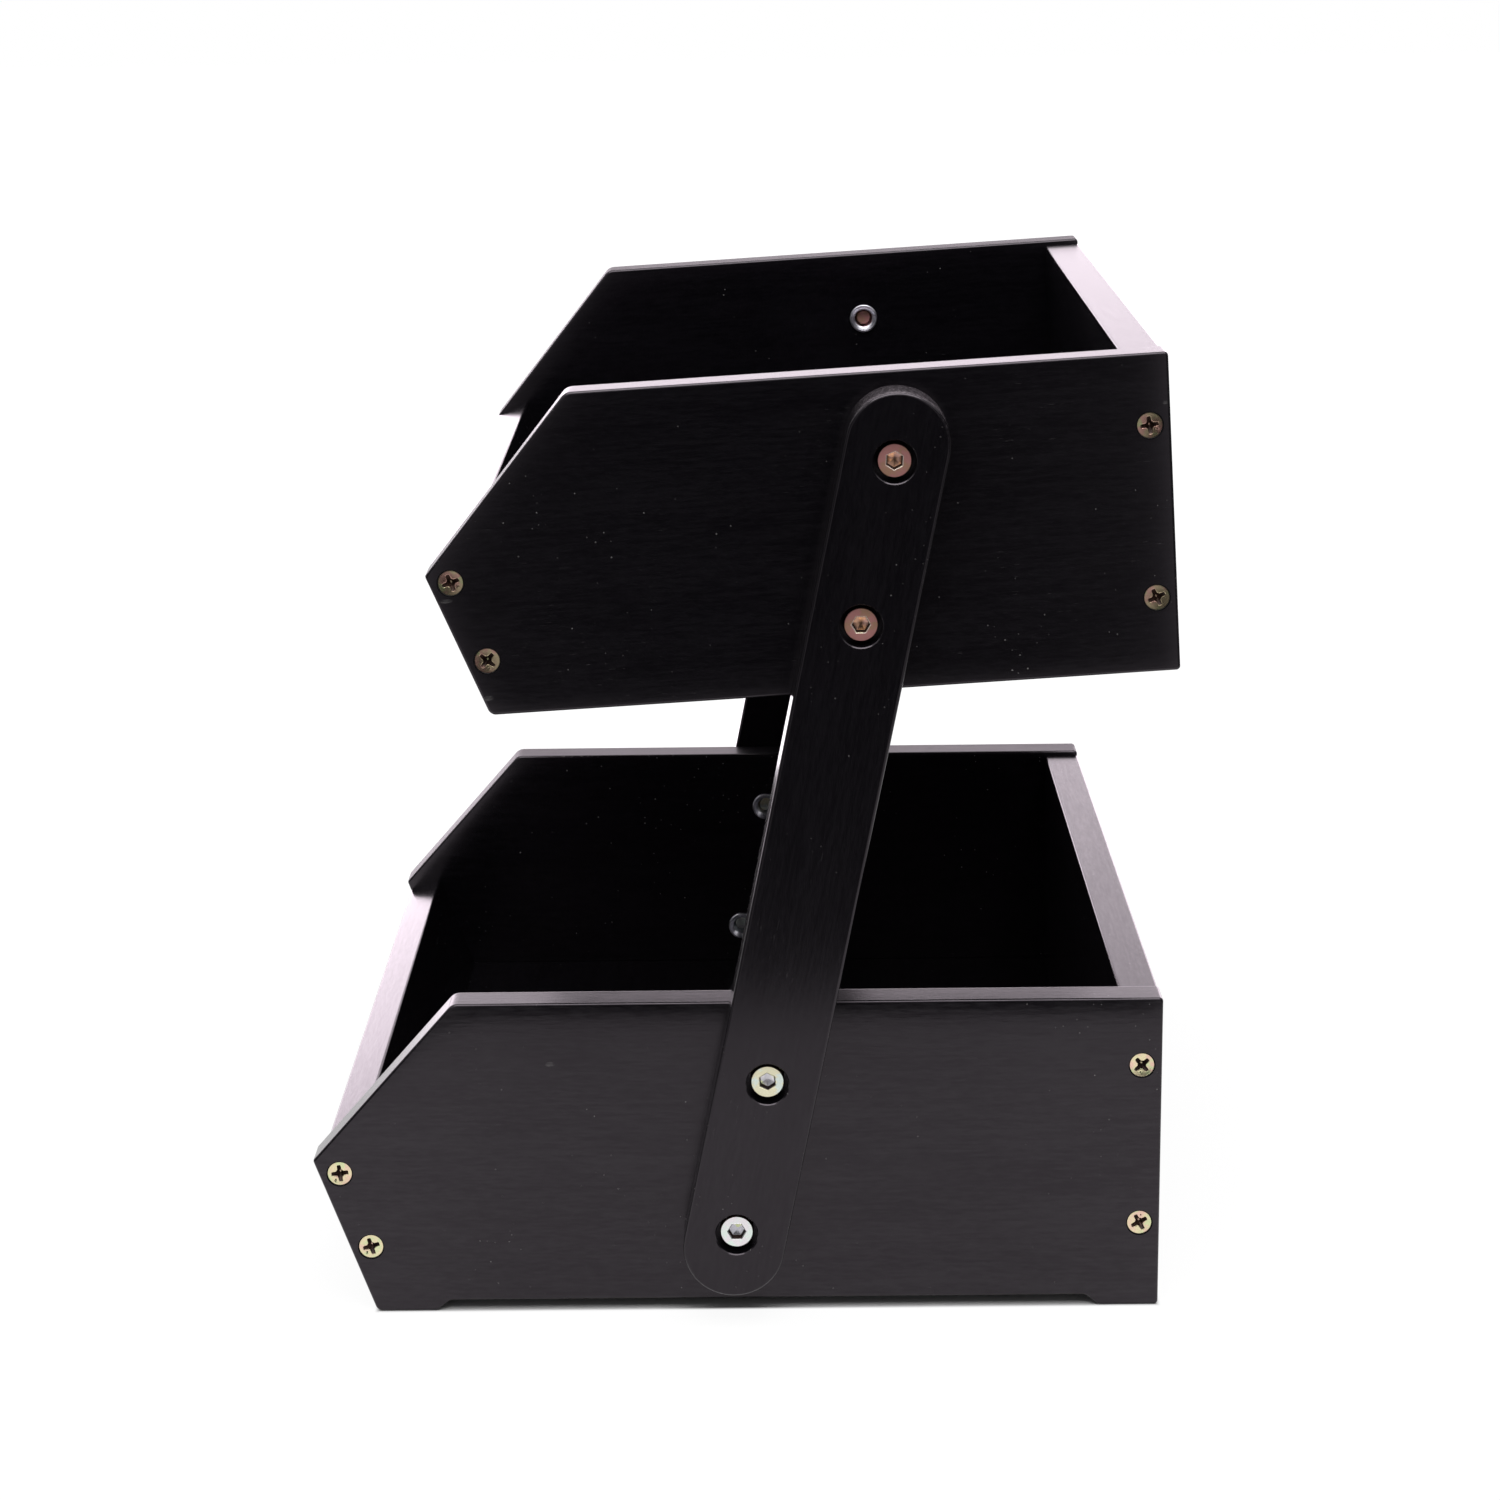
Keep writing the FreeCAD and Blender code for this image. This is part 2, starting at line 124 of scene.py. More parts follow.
# Each arm bolt from the lowest to the highest: turn of its socket, and the finishes of its head, of
# its socket's floor and of its socket's edge.
BOLTS = (
    (30.0, "mint_bolt_plating", "grey_socket_floor", "mint_bolt_plating"),
    (4.0, "cream_bolt_plating", "grey_socket_floor", "cream_bolt_plating"),
    # The upper bolts' socket edges take a painted highlight.
    (30.0, "copper_bolt_plating", "honey_socket_floor", "painted_highlight_socket_edge"),
    (-2.5, "copper_bolt_plating", "honey_socket_floor", "painted_highlight_socket_edge"),
)
# Each metal finish: the settings that its three tones are, its mean roughness, how far its scratches
# vary that, how metallic it is, and the depth of its scratches in mm.
SCREW_METALS = {
    "yellow_screw_plating": (("gold", "rose", "green"), 0.17, 0.16, 0.82, 0.005),
    # The upper screws' amber plating is the yellow plating at about half its brightness: painted shade,
    # with a slightly more orange tone.
    "upper_screw_painted_shade_plating": (("amber", "salmon", "olive"), 0.17, 0.16, 0.82, 0.005),
    # The recess finish is painted shade: a dark brown on the walls of the cross recess and in the dimple,
    # where shade falls.
    "screw_recess_painted_shade": (("painted_shade", "thin_painted_shade", "painted_shade"), 0.45, 0.20, 0.50, 0.020),
}
BOLT_METALS = {
    "copper_bolt_plating": (("copper", "brown", "copper"), 0.40, 0.16, 0.50, 0.010),
    "cream_bolt_plating": (("cream", "cream", "mint"), 0.22, 0.16, 0.75, 0.003),
    "mint_bolt_plating": (("mint", "lilac", "mint"), 0.15, 0.16, 0.85, 0.003),
    "honey_socket_floor": (("honey", "salmon", "brown"), 0.20, 0.16, 0.95, 0.010),
    "grey_socket_floor": (("zinc", "lilac", "green"), 0.25, 0.16, 0.80, 0.010),
    # The socket edge finish is a painted highlight: a pale, mostly matte colour that brightens the upper
    # bolts' socket mouths.
    "painted_highlight_socket_edge": (("pearl", "pearl", "cream"), 0.35, 0.16, 0.15, 0.005),
    # The socket finish is painted shade: a dark brown on the socket walls and round each bolt head's rim
    # and knurled side, where shade falls.
    "bolt_socket_painted_shade": (("painted_shade", "thin_painted_shade", "painted_shade"), 0.45, 0.20, 0.50, 0.020),
}
INSERT_METALS = {"bright_insert_zinc": (("zinc", "dull_zinc", "zinc"), 0.29, 0.14, 1.00, 0.010)}

# ---- settings ----
def a_colour(name, where, default):
    """Colour setting; what it colours, or where, follows the word Colour in its description."""
    return FloatVectorProperty(name=name, description="Colour " + where, default=default, subtype="COLOR",
                               size=3, min=0.0, max=1.0)


def a_share(name, description, default):
    return FloatProperty(name=name, description=description, default=default, subtype="FACTOR",
                         min=0.0, max=1.0)


def a_length(name, description, default, low, high):
    """Length between two limits, all three given in millimetres."""
    return FloatProperty(name=name, description=description, default=default * MM, min=low * MM,
                         max=high * MM, subtype="DISTANCE", unit="LENGTH", precision=6)


def an_angle(name, description, degrees):
    return FloatProperty(name=name, description=description, default=math.radians(degrees), subtype="ANGLE")


def a_power(name, description, default):
    return FloatProperty(name=name, description=description, default=default, unit="POWER",
                         min=0.0, max=200.0)


class StainedWoodSettings(bpy.types.PropertyGroup):
    """Colours and surface of the stained boards and arms."""

    stain: a_colour("Stain", "of the black stain between the fibres", (0.0026, 0.0023, 0.0034))
    fibre: a_colour("Fibre", "of the fibres that took less stain", (0.0064, 0.0058, 0.0076))
    bare: a_colour("Worn edge", "where an edge has lost its stain", (0.075, 0.068, 0.066))
    dust: a_colour("Dust tone", "of dust and light scuffs", (0.42, 0.41, 0.40))
    # Pale pink on the arms' rounded ends: open end grain together with a painted highlight where the light
    # catches them.
    pale_end_highlight_tone: a_colour("End grain", "of the open pores on the arms' rounded ends", (0.44, 0.38, 0.42))
    # Painted reflection tint: the pink cast of the studio light, put into what the lacquer mirrors.
    painted_reflection_tint: a_colour("Reflection tint", "that tints what the lacquer mirrors", (1.0, 0.87, 0.98))
    roughness: a_share("Lacquer roughness", "Roughness of the satin lacquer", 0.18)
    border_reach: a_length("Sanded border", "How far in from its outline a side board's face is sanded off",
                           4.0, 0.5, 20.0)
    border_slope: a_share("Border slope", "Slope of the sanded face at the outline", 0.085)
    relief: a_length("Grain relief", "Depth of the grain under the lacquer", 0.012, 0.0, 1.0)
    dust_share: a_share("Dust", "How much dust lies on the boards", 0.75)
    wear_share: a_share("Edge wear", "How much of the edges has lost its stain", 0.45)


class HardwareSettings(bpy.types.PropertyGroup):
    """Plating colours, the painted shade and highlight colours, and the fine sizes of the screws, bolts and
    inserts.
    """

    gold: a_colour("Yellow plating", "of most of the lower screws' yellow plating", (0.88, 0.77, 0.49))
    rose: a_colour("Rose plating", "where the lower screws' plating turns to pink", (0.90, 0.62, 0.49))
    green: a_colour("Green plating", "where the lower screws' plating turns to green", (0.74, 0.79, 0.45))
    # Amber, salmon and olive are the lower screws' tones at about half brightness: painted shade on the
    # upper screws, a little more orange.
    amber: a_colour("Amber plating", "of most of the upper screws' plating", (0.44, 0.355, 0.225))
    salmon: a_colour("Salmon plating", "where the upper screws' plating turns to pink", (0.46, 0.265, 0.22))
    olive: a_colour("Olive plating", "where the upper screws' plating turns to olive", (0.39, 0.385, 0.215))
    copper: a_colour("Copper plating", "of the upper bolts' plating", (0.61, 0.275, 0.26))
    brown: a_colour("Brown plating", "where the upper bolts' plating turns to brown", (0.53, 0.30, 0.20))
    cream: a_colour("Cream plating", "of the second bolt's plating", (0.99, 0.94, 0.68))
    mint: a_colour("Mint plating", "of the lowest bolt's plating", (0.90, 1.0, 0.93))
    lilac: a_colour("Lilac plating", "where the lowest bolt's plating turns to lilac", (0.97, 0.92, 0.95))
    # Painted highlight: the pale colour that brightens the upper bolts' socket mouths.
    pearl: a_colour("Socket edge highlight", "of the upper bolts' burnished socket edges", (0.84, 0.70, 0.62))
    honey: a_colour("Honey plating", "on the floor of the upper bolts' sockets", (0.90, 0.44, 0.22))
    # Painted shade: dark browns for the recesses, the sockets and the sides of the bolt heads, where shade
    # falls.
    painted_shade: a_colour("Recess oxide", "inside the recesses and sockets", (0.030, 0.015, 0.011))
    thin_painted_shade: a_colour("Thin oxide", "where the oxide in the recesses and sockets is thin",
                         (0.090, 0.045, 0.033))
    zinc: a_colour("Bright zinc", "of the threaded inserts", (0.66, 0.65, 0.71))
    dull_zinc: a_colour("Dull zinc", "where the zinc of the inserts is cloudy", (0.528, 0.52, 0.568))
    recess_span: a_length("Recess span", "Cross recess of the screws, over its wings", 5.3, 2.0, 6.0)
    recess_wing: a_length("Recess wing", "Width of one wing of the cross recess", 1.2, 0.3, 2.0)
    recess_depth: a_length("Recess depth", "Depth of the cross recess", 2.2, 0.5, 4.0)
    screw_sink: a_length("Screw sink", "How far the screws' faces lie below the wood", 0.3, 0.0, 0.5)
    screw_dish: a_length("Screw dish", "How far the screws' heads are dished", 0.22, 0.0, 0.5)
    screw_pitch: a_length("Screw thread pitch", "Pitch of the wood screws' thread", 1.8, 0.5, 4.0)
    bolt_pitch: a_length("Bolt thread pitch", "Pitch of the bolts' thread", 1.0, 0.5, 2.0)
    socket_width: a_length("Socket width", "Hexagon socket of the bolts, across its flats", 4.55, 2.0, 8.0)
    socket_depth: a_length("Socket depth", "Depth of the hexagon socket", 2.6, 1.0, 5.0)
    socket_mouth: a_length("Socket mouth", "Chamfer round the mouth of the hexagon socket", 0.25, 0.0, 1.0)
    dish_depth: a_length("Insert dish", "Depth of the inserts' dished mouth", 1.3, 0.2, 3.0)
    knurls: IntProperty(name="Knurls", description="Grooves round each bolt's head", default=36, min=0,
                        max=60)


class StudioSettings(bpy.types.PropertyGroup):
    """Camera, floor and soft light."""

    camera_place: FloatVectorProperty(
        name="Camera place", description="Where the camera stands",
        default=(1.14278, 0.0094, 0.42960), subtype="TRANSLATION", unit="LENGTH", size=3, precision=5)
    camera_down: an_angle("Camera down", "Angle that the camera looks down", 14.443)
    camera_round: an_angle("Camera round", "Angle that the camera is turned to the front", -0.3216)
    camera_roll: an_angle("Camera roll", "Roll of the camera about its axis", 0.6469)
    camera_lens: FloatProperty(
        name="Lens", description="Focal length on a 36 mm wide sensor, in millimetres",
        default=84.47, min=10.0, max=300.0)
    floor_near: a_length("Floor past the right side", "How far the pale floor reaches past the right side",
                         308.0, 50.0, 5000.0)
    floor_far: a_length("Floor elsewhere", "How far the pale floor reaches on the other sides",
                        6000.0, 500.0, 20000.0)
    back_tint: a_colour("Back light tint", "of the soft boxes behind", (1.0, 0.88, 0.97))
    ambient: FloatProperty(
        name="Ambient light", description="Strength of the even light from all round",
        default=0.22, min=0.0, max=5.0)
    fill: a_power("Fill light", "Power of the soft light above the camera", 20.0)
    back_light: a_power("Back light", "Power of the wide soft box behind the object", 7.5)


# ---- node helpers ----
class NodeSheet:
    """Adds, sets and joins the nodes of one node tree, which it empties first."""

    def __init__(self, tree):
        self.tree = tree
        self.tree.nodes.clear()

    def add(self, kind, inputs=None, **settings):
        """Add a node; inputs maps a socket's name or number to a value or to another node's output."""
        place = len(self.tree.nodes) + 1
        node = self.tree.nodes.new(kind)
        node.location = (place * 190 - 2400, (place % 4) * -170)
        for key, value in settings.items():
            setattr(node, key, value)
        for key, value in (inputs or {}).items():
            if isinstance(value, bpy.types.NodeSocket):
                self.tree.links.new(value, node.inputs[key])
            else:
                node.inputs[key].default_value = value
        return node

    def math(self, operation, first, second=0.0, clamp=False):
        node = self.add("ShaderNodeMath", {0: first, 1: second}, operation=operation, use_clamp=clamp)
        return node.outputs[0]

    def times(self, first, *others):
        for other in others:
            first = self.math("MULTIPLY", first, other)
        return first

    def plus(self, first, *others):
        for other in others:
            first = self.math("ADD", first, other)
        return first

    def minus(self, first, second):
        return self.math("SUBTRACT", first, second)

    def larger(self, first, second):
        return self.math("MAXIMUM", first, second)

    def unsigned(self, value):
        return self.math("ABSOLUTE", value)

    def vector(self, operation, first, second=(0.0, 0.0, 0.0)):
        node = self.add("ShaderNodeVectorMath", {0: first, 1: second}, operation=operation)
        return node.outputs["Value" if operation in ("DOT_PRODUCT", "LENGTH") else "Vector"]

    def scaled(self, vector, scale):
        return self.vector("MULTIPLY", vector, scale)

    def parts(self, vector):
        """The X, Y and Z of a vector."""
        return self.add("ShaderNodeSeparateXYZ", {"Vector": vector}).outputs

    def place(self):
        """Position in the frame, in metres."""
        return self.add("ShaderNodeTexCoord").outputs["Object"]

    def normal(self):
        return self.add("ShaderNodeTexCoord").outputs["Normal"]

    def ramp(self, value, low, high, out_low=0.0, out_high=1.0):
        """Value taken smoothly from low..high to out_low..out_high."""
        limits = {"Value": value, "From Min": low, "From Max": high, "To Min": out_low, "To Max": out_high}
        return self.add("ShaderNodeMapRange", limits, interpolation_type="SMOOTHSTEP").outputs["Result"]

    def noise(self, vector, scale=1.0, detail=2.0, roughness=0.5):
        look = {"Vector": vector, "Scale": scale, "Detail": detail, "Roughness": roughness}
        return self.add("ShaderNodeTexNoise", look).outputs[0]

    def mix(self, share, first, second):
        return self.add("ShaderNodeMix", {0: share, 6: first, 7: second}, data_type="RGBA").outputs[2]

    def bump(self, height, distance, **inputs):
        return self.add("ShaderNodeBump", {"Height": height, "Distance": distance, "Strength": 1.0,
                                           **inputs}).outputs[0]

    def group(self, tree, inputs):
        return self.add("ShaderNodeGroup", inputs, node_tree=tree).outputs

    def principled(self, inputs):
        """Put a principled shader on the output of a material."""
        shader = self.add("ShaderNodeBsdfPrincipled", inputs)
        self.add("ShaderNodeOutputMaterial", {"Surface": shader.outputs[0]})


def new_group(name, inputs, outputs=("Mask",)):
    """Sheet of an empty shader node group with named sockets, and the outputs of its input node.

    A socket is a number unless its name is one of those listed here.
    """
    kinds = {"Vector": "Vector", "Colour": "Color", "Main": "Color", "Second": "Color", "Third": "Color"}
    tree = bpy.data.node_groups.new(name, "ShaderNodeTree")
    for way, labels in (("INPUT", inputs), ("OUTPUT", outputs)):
        for label in labels:
            kind = "NodeSocket" + kinds.get(label, "Float")
            tree.interface.new_socket(name=label, in_out=way, socket_type=kind)
    sheet = NodeSheet(tree)
    return sheet, sheet.add("NodeGroupInput").outputs


def rgba(colour):
    return (*colour, 1.0)


# ---- shared effects, each built once; their vectors are in millimetres ----
@cache
def grain_group():
    """Straight, fine grain along the first axis of the vector."""
    sheet, given = new_group("Straight grain", ("Vector", "Contrast"), ("Fibre", "Height"))
    bend = sheet.noise(sheet.scaled(given["Vector"], (0.012, 0.05, 0.05)), 1.0, 1.0)
    bend = sheet.times(sheet.minus(bend, 0.5), 1.6)
    lifted = sheet.add("ShaderNodeCombineXYZ", {"Y": bend, "Z": bend}).outputs[0]
    wavy = sheet.vector("ADD", given["Vector"], lifted)
    short = sheet.noise(sheet.scaled(wavy, (0.22, 1.25, 1.25)), 1.0, 3.0, 0.65)
    long = sheet.noise(sheet.scaled(wavy, (0.05, 0.95, 0.95)), 1.0, 2.0, 0.6)
    broad = sheet.noise(sheet.scaled(wavy, (0.016, 0.10, 0.10)), 1.0, 2.0, 0.5)
    streak = sheet.plus(sheet.times(short, 0.6), sheet.times(long, 0.4), sheet.times(broad, 0.25))
    fibre = sheet.math("MULTIPLY", sheet.ramp(streak, 0.44, 0.82), given["Contrast"], clamp=True)
    height = sheet.plus(sheet.times(short, 0.8), sheet.times(long, 0.6))
    sheet.add("NodeGroupOutput", {"Fibre": fibre, "Height": height})
    return sheet.tree


@cache
def dust_group():
    """Scattered specks of dust in loose clusters."""
    sheet, given = new_group("Dust specks", ("Vector", "Spacing", "Size", "Share"))
    per_mm = sheet.math("DIVIDE", 1.0, given["Spacing"])
    layout = {"Vector": given["Vector"], "Scale": per_mm, "Randomness": 1.0}
    cells = sheet.add("ShaderNodeTexVoronoi", layout, feature="F1").outputs
    lot = sheet.add("ShaderNodeSeparateColor", {"Color": cells["Color"]}).outputs
    reach = sheet.times(sheet.math("DIVIDE", given["Size"], given["Spacing"]),
                        sheet.plus(sheet.times(lot["Green"], 0.8), 0.6))
    dot = sheet.ramp(sheet.math("DIVIDE", cells["Distance"], reach), 1.1, 0.6)
    crowd = sheet.ramp(sheet.noise(given["Vector"], 0.028, 1.0), 0.48, 0.70, 0.06, 1.0)
    kept = sheet.math("GREATER_THAN", lot["Red"], sheet.minus(1.0, sheet.times(given["Share"], crowd)))
    tone = sheet.plus(sheet.times(sheet.math("POWER", lot["Blue"], 2.0), 0.85), 0.15)
    sheet.add("NodeGroupOutput", {"Mask": sheet.times(dot, kept, tone)})
    return sheet.tree


@cache
def scuff_group():
    """Short light scuffs along the grain, in patches."""
    sheet, given = new_group("Light scuffs", ("Vector", "Share"))
    line = sheet.noise(sheet.scaled(given["Vector"], (0.24, 2.0, 2.0)), 1.0, 2.0, 0.6)
    patch = sheet.ramp(sheet.noise(given["Vector"], 0.035, 2.0), 0.50, 0.70)
    sheet.add("NodeGroupOutput", {"Mask": sheet.times(sheet.ramp(line, 0.66, 0.80), patch, given["Share"])})
    return sheet.tree


@cache
def edge_group():
    """Where an eased edge has lost its stain in small spots; flatness is one on a board's flat faces."""
    sheet, given = new_group("Edge wear", ("Vector", "Flatness", "Share"))
    edge = sheet.ramp(given["Flatness"], 0.995, 0.90)
    spots = sheet.noise(given["Vector"], 1.9, 1.0, 0.5)
    crowd = sheet.ramp(sheet.noise(given["Vector"], 0.045, 1.0), 0.42, 0.66, -0.10, 0.05)
    low = sheet.minus(0.76, sheet.times(given["Share"], 0.2))
    spots = sheet.ramp(sheet.minus(sheet.plus(spots, crowd), low), 0.0, 0.09)
    sheet.add("NodeGroupOutput", {"Mask": sheet.times(edge, spots)})
    return sheet.tree


@cache
def drift_group():
    """Soft drift of a metal's colour through three tones, and its fine scratches."""
    sheet, given = new_group("Plating drift", ("Vector", "Main", "Second", "Third"), ("Colour", "Scratch"))
    cloud = sheet.noise(given["Vector"], 0.22, 3.0, 0.6)
    other = sheet.noise(sheet.scaled(given["Vector"], (1.0, -1.0, 1.3)), 0.30, 2.0, 0.6)
    colour = sheet.mix(sheet.ramp(cloud, 0.44, 0.60), given["Main"], given["Second"])
    colour = sheet.mix(sheet.ramp(other, 0.52, 0.66), colour, given["Third"])
    scratch = sheet.noise(given["Vector"], 3.2, 3.0, 0.7)
    sheet.add("NodeGroupOutput", {"Colour": colour, "Scratch": scratch})
    return sheet.tree


# ---- finishes ----
def new_material(name):
    """New material and the sheet of its nodes."""
    material = bpy.data.materials.new(name)
    material.use_nodes = True
    return material, NodeSheet(material.node_tree)


def along_grain(sheet, grain, origin=(0.0, 0.0, 0.0)):
    """Position from the origin in millimetres, turned so that its first axis runs along the grain."""
    turn = Vector(grain).normalized().rotation_difference(Vector(X_AXIS)).to_euler()
    moved = sheet.vector("SUBTRACT", sheet.place(), origin)
    return sheet.add("ShaderNodeMapping", {"Vector": moved, "Rotation": turn, "Scale": PER_MM}).outputs[0]


def flatness(sheet, cross_turn=None):
    """One on a board's flat faces and less on its eased edges.

    A side board or an arm is flat where it faces X or lies in X. A cross board is flat where it
    faces one of the two directions across X, turned by cross_turn.
    """
    normal = sheet.normal()
    if cross_turn is None:
        first = sheet.parts(normal)["X"]
        rest = sheet.math("SUBTRACT", 1.0, sheet.times(first, first), clamp=True)
        second = sheet.math("SQRT", rest)
    else:
        turn = {"Vector": normal, "Angle": -cross_turn}
        parts = sheet.parts(sheet.add("ShaderNodeVectorRotate", turn, rotation_type="X_AXIS").outputs[0])
        first, second = parts["Y"], parts["Z"]
    return sheet.larger(sheet.unsigned(first), sheet.unsigned(second))


def side_planes(node):
    """Outward direction and distance from the origin of each long, narrow side of a side board."""
    areas = {}
    for face in bpy.data.objects[node].data.polygons:
        if abs(face.normal.x) < 0.02:
            key = (round(face.normal.y, 2), round(face.normal.z, 2), round(face.normal.dot(face.center), 4))
            areas[key] = areas.get(key, 0.0) + face.area
    smallest = 0.03 * sum(areas.values())
    sides = {}
    for (y, z, distance), area in areas.items():
        if area > max(smallest, sides.get((y, z), (0.0, 0.0))[0]):
            sides[(y, z)] = (area, distance)
    return [(Vector((0.0, y, z)).normalized(), distance) for (y, z), (area, distance) in sides.items()]


def sanded_border(sheet, sides, reach):
    """One well inside a board's outline, and less within a few times the reach of any of its sides."""
    place = sheet.place()
    height = 1.0
    for direction, distance in sides:
        inside = sheet.larger(sheet.minus(distance, sheet.vector("DOT_PRODUCT", place, direction)), 0.0)
        height = sheet.minus(height, sheet.math("EXPONENT", sheet.math("DIVIDE", inside, -reach)))
    return height


def rub_mark(sheet, vector, half_along, half_across):
    """Small rubbed spot at a vector's origin, broken up by the grain; everything is in millimetres."""
    shrink = (1.0 / half_along, 1.0 / half_across, 1.0 / half_across)
    away = sheet.vector("LENGTH", sheet.scaled(vector, shrink))
    broken = sheet.ramp(sheet.noise(sheet.scaled(vector, (0.5, 1.4, 1.4)), 1.0, 2.0, 0.6), 0.35, 0.60)
    return sheet.times(sheet.ramp(away, 1.1, 0.5), broken)


def on_narrow_sides(sheet, share=1.0):
    """The share on a board's or an arm's narrow sides, and nothing on its faces."""
    return sheet.ramp(sheet.unsigned(sheet.parts(sheet.normal())["X"]), 0.30, 0.10, 0.0, share)


def end_pores_and_highlight(sheet, vector, low, high):
    """Open pores on the rounded ends of a bar whose end holes are at low and high, in metres, painted pale
    pink as a painted highlight where the light catches the ends.

    They show half as much at the inner edges of the ends as at the outer ones.
    """
    along = (high - low).normalized()
    half = (high - low).length / 2.0
    place = sheet.place()
    reach = sheet.vector("DOT_PRODUCT", sheet.vector("SUBTRACT", place, (low + high) / 2.0), along)
    past = sheet.ramp(sheet.unsigned(reach), half + 6.5 * MM, half + 8.0 * MM)
    turned = sheet.ramp(sheet.unsigned(sheet.vector("DOT_PRODUCT", sheet.normal(), along)), 0.25, 0.85)
    outer = CAD_BOX[1].x
    aside = sheet.unsigned(sheet.parts(place)["X"])
    shallow = sheet.ramp(aside, outer - 6.0 * MM, outer - 0.5 * MM, 0.5, 1.0)
    pores = sheet.ramp(sheet.noise(vector, 1.1, 3.0, 0.75), 0.38, 0.62, 0.25, 1.0)
    return sheet.times(past, turned, on_narrow_sides(sheet), shallow, pores)


def stained_wood(name, grain, offset, wood, contrast=1.0, cross_turn=None, ends=None, sides=(), rubs=(),
                 dull=0.0):
    """Black-stained, lacquered wood with its grain in the given direction.

    The offset, in millimetres, says which part of the pattern it shows, so that no two boards look
    alike. The ends are the two end holes of a bar whose rounded ends show rough end grain, painted
    pale as a painted highlight. The sides are the planes of a board's narrow sides, near which sanding
    has rounded its faces off a little.
    The rubs are the middle and the two half sizes of each rubbed spot. Dull is how much rougher its
    narrow sides are.
    """
    material, sheet = new_material(name)
    vector = sheet.vector("ADD", along_grain(sheet, grain), offset)
    fibres = sheet.group(grain_group(), {"Vector": vector, "Contrast": contrast})
    specks = {"Vector": vector, "Spacing": 2.3, "Size": 0.20, "Share": wood.dust_share}
    worn = {"Vector": vector, "Flatness": flatness(sheet, cross_turn), "Share": wood.wear_share}
    scuffs = {"Vector": vector, "Share": wood.dust_share}
    # Each mark: where it is, its colour, how far it covers the wood and how much roughness it adds.
    marks = [(sheet.group(edge_group(), worn)[0], wood.bare, 0.8, 0.3),
             (sheet.group(scuff_group(), scuffs)[0], wood.dust, 0.09, 0.2),
             (sheet.group(dust_group(), specks)[0], wood.dust, 0.55, 0.4)]
    for middle, half_along, half_across in rubs:
        spot = rub_mark(sheet, along_grain(sheet, grain, middle), half_along, half_across)
        marks.append((spot, wood.dust, 0.16, 0.0))
    # The arms' rounded ends get open end grain together with a painted highlight.
    if ends:
        marks.append((end_pores_and_highlight(sheet, vector, *ends), wood.pale_end_highlight_tone, 0.65, 0.2))
    colour = sheet.mix(fibres["Fibre"], rgba(wood.stain), rgba(wood.fibre))
    rough = sheet.plus(sheet.times(fibres["Fibre"], 0.035), wood.roughness - 0.02)
    for where, tone, cover_share, roughening in marks:
        colour = sheet.mix(sheet.times(where, cover_share), colour, rgba(tone))
        if roughening:
            rough = sheet.math("ADD", rough, sheet.times(where, roughening), clamp=True)
    if dull:
        rough = sheet.math("ADD", rough, on_narrow_sides(sheet, dull), clamp=True)
    under = {}
    if sides:
        fall = wood.border_reach * wood.border_slope
        under["Normal"] = sheet.bump(sanded_border(sheet, sides, wood.border_reach), fall)
    # The Specular Tint is the painted reflection tint of the pink studio light.
    sheet.principled({"Base Color": colour, "Roughness": rough, "IOR": 1.47,
                      "Specular Tint": rgba(wood.painted_reflection_tint), "Coat Roughness": 0.18,
                      "Coat Weight": sheet.times(fibres["Fibre"], 0.19),
                      "Normal": sheet.bump(fibres["Height"], wood.relief, **under)})
    return material


def painted_gap_shadow(wood):
    """Painted shadow: the wood's black stain on the outer rim of a screw's head, for the shade in the gap
    round it.
    """
    material, sheet = new_material("screw_gap_painted_shadow")
    fine = sheet.noise(sheet.scaled(sheet.place(), PER_MM), 2.0, 2.0)
    sheet.principled({"Base Color": sheet.mix(fine, rgba(wood.stain), rgba(wood.fibre)),
                      "Roughness": sheet.plus(sheet.times(fine, 0.2), 0.5), "Specular IOR Level": 0.2})
    return material


def metals(table, hardware):
    """The metal finishes in a table, clouded from tone to tone and finely scratched."""
    made = {}
    for name, (tones, roughness, spread, metallic, depth) in table.items():
        main, second, third = [rgba(getattr(hardware, tone)) for tone in tones]
        made[name], sheet = new_material(name)
        drift = sheet.group(drift_group(), {"Vector": sheet.scaled(sheet.place(), PER_MM), "Main": main,
                                            "Second": second, "Third": third})
        rough = sheet.times(drift["Scratch"], spread)
        rough = sheet.math("ADD", rough, roughness - spread / 2.0, clamp=True)
        sheet.principled({"Base Color": drift["Colour"], "Roughness": rough, "Metallic": metallic,
                          "Normal": sheet.bump(drift["Scratch"], depth * MM)})
    return made


def cover(node, material):
    """Give a frame node its finish."""
    mesh = frame["nodes"][node].data
    mesh.materials.clear()
    mesh.materials.append(material)


# ---- turned and threaded hardware ----
def circle(count, radius, height, start=0.0):
    """Ring of points round the axis; the radius is a number or a function of the angle."""
    angles = [start + 2.0 * math.pi * index / count for index in range(count)]
    radii = [radius(angle) if callable(radius) else radius for angle in angles]
    return [(size * math.cos(angle), size * math.sin(angle), height) for size, angle in zip(radii, angles)]


def circles(count, profile, start=0.0):
    return [circle(count, radius, height, start) for radius, height in profile]


def thread_rise(turns):
    """How far a thread rises from its root, from none to one, so many turns along it."""
    profile = (0.0, 0.0, 0.55, 1.0, 0.55)
    phase = turns % 1.0 * len(profile)
    base = int(phase) % len(profile)
    share = phase - int(phase)
    return profile[base] * (1.0 - share) + profile[(base + 1) % len(profile)] * share


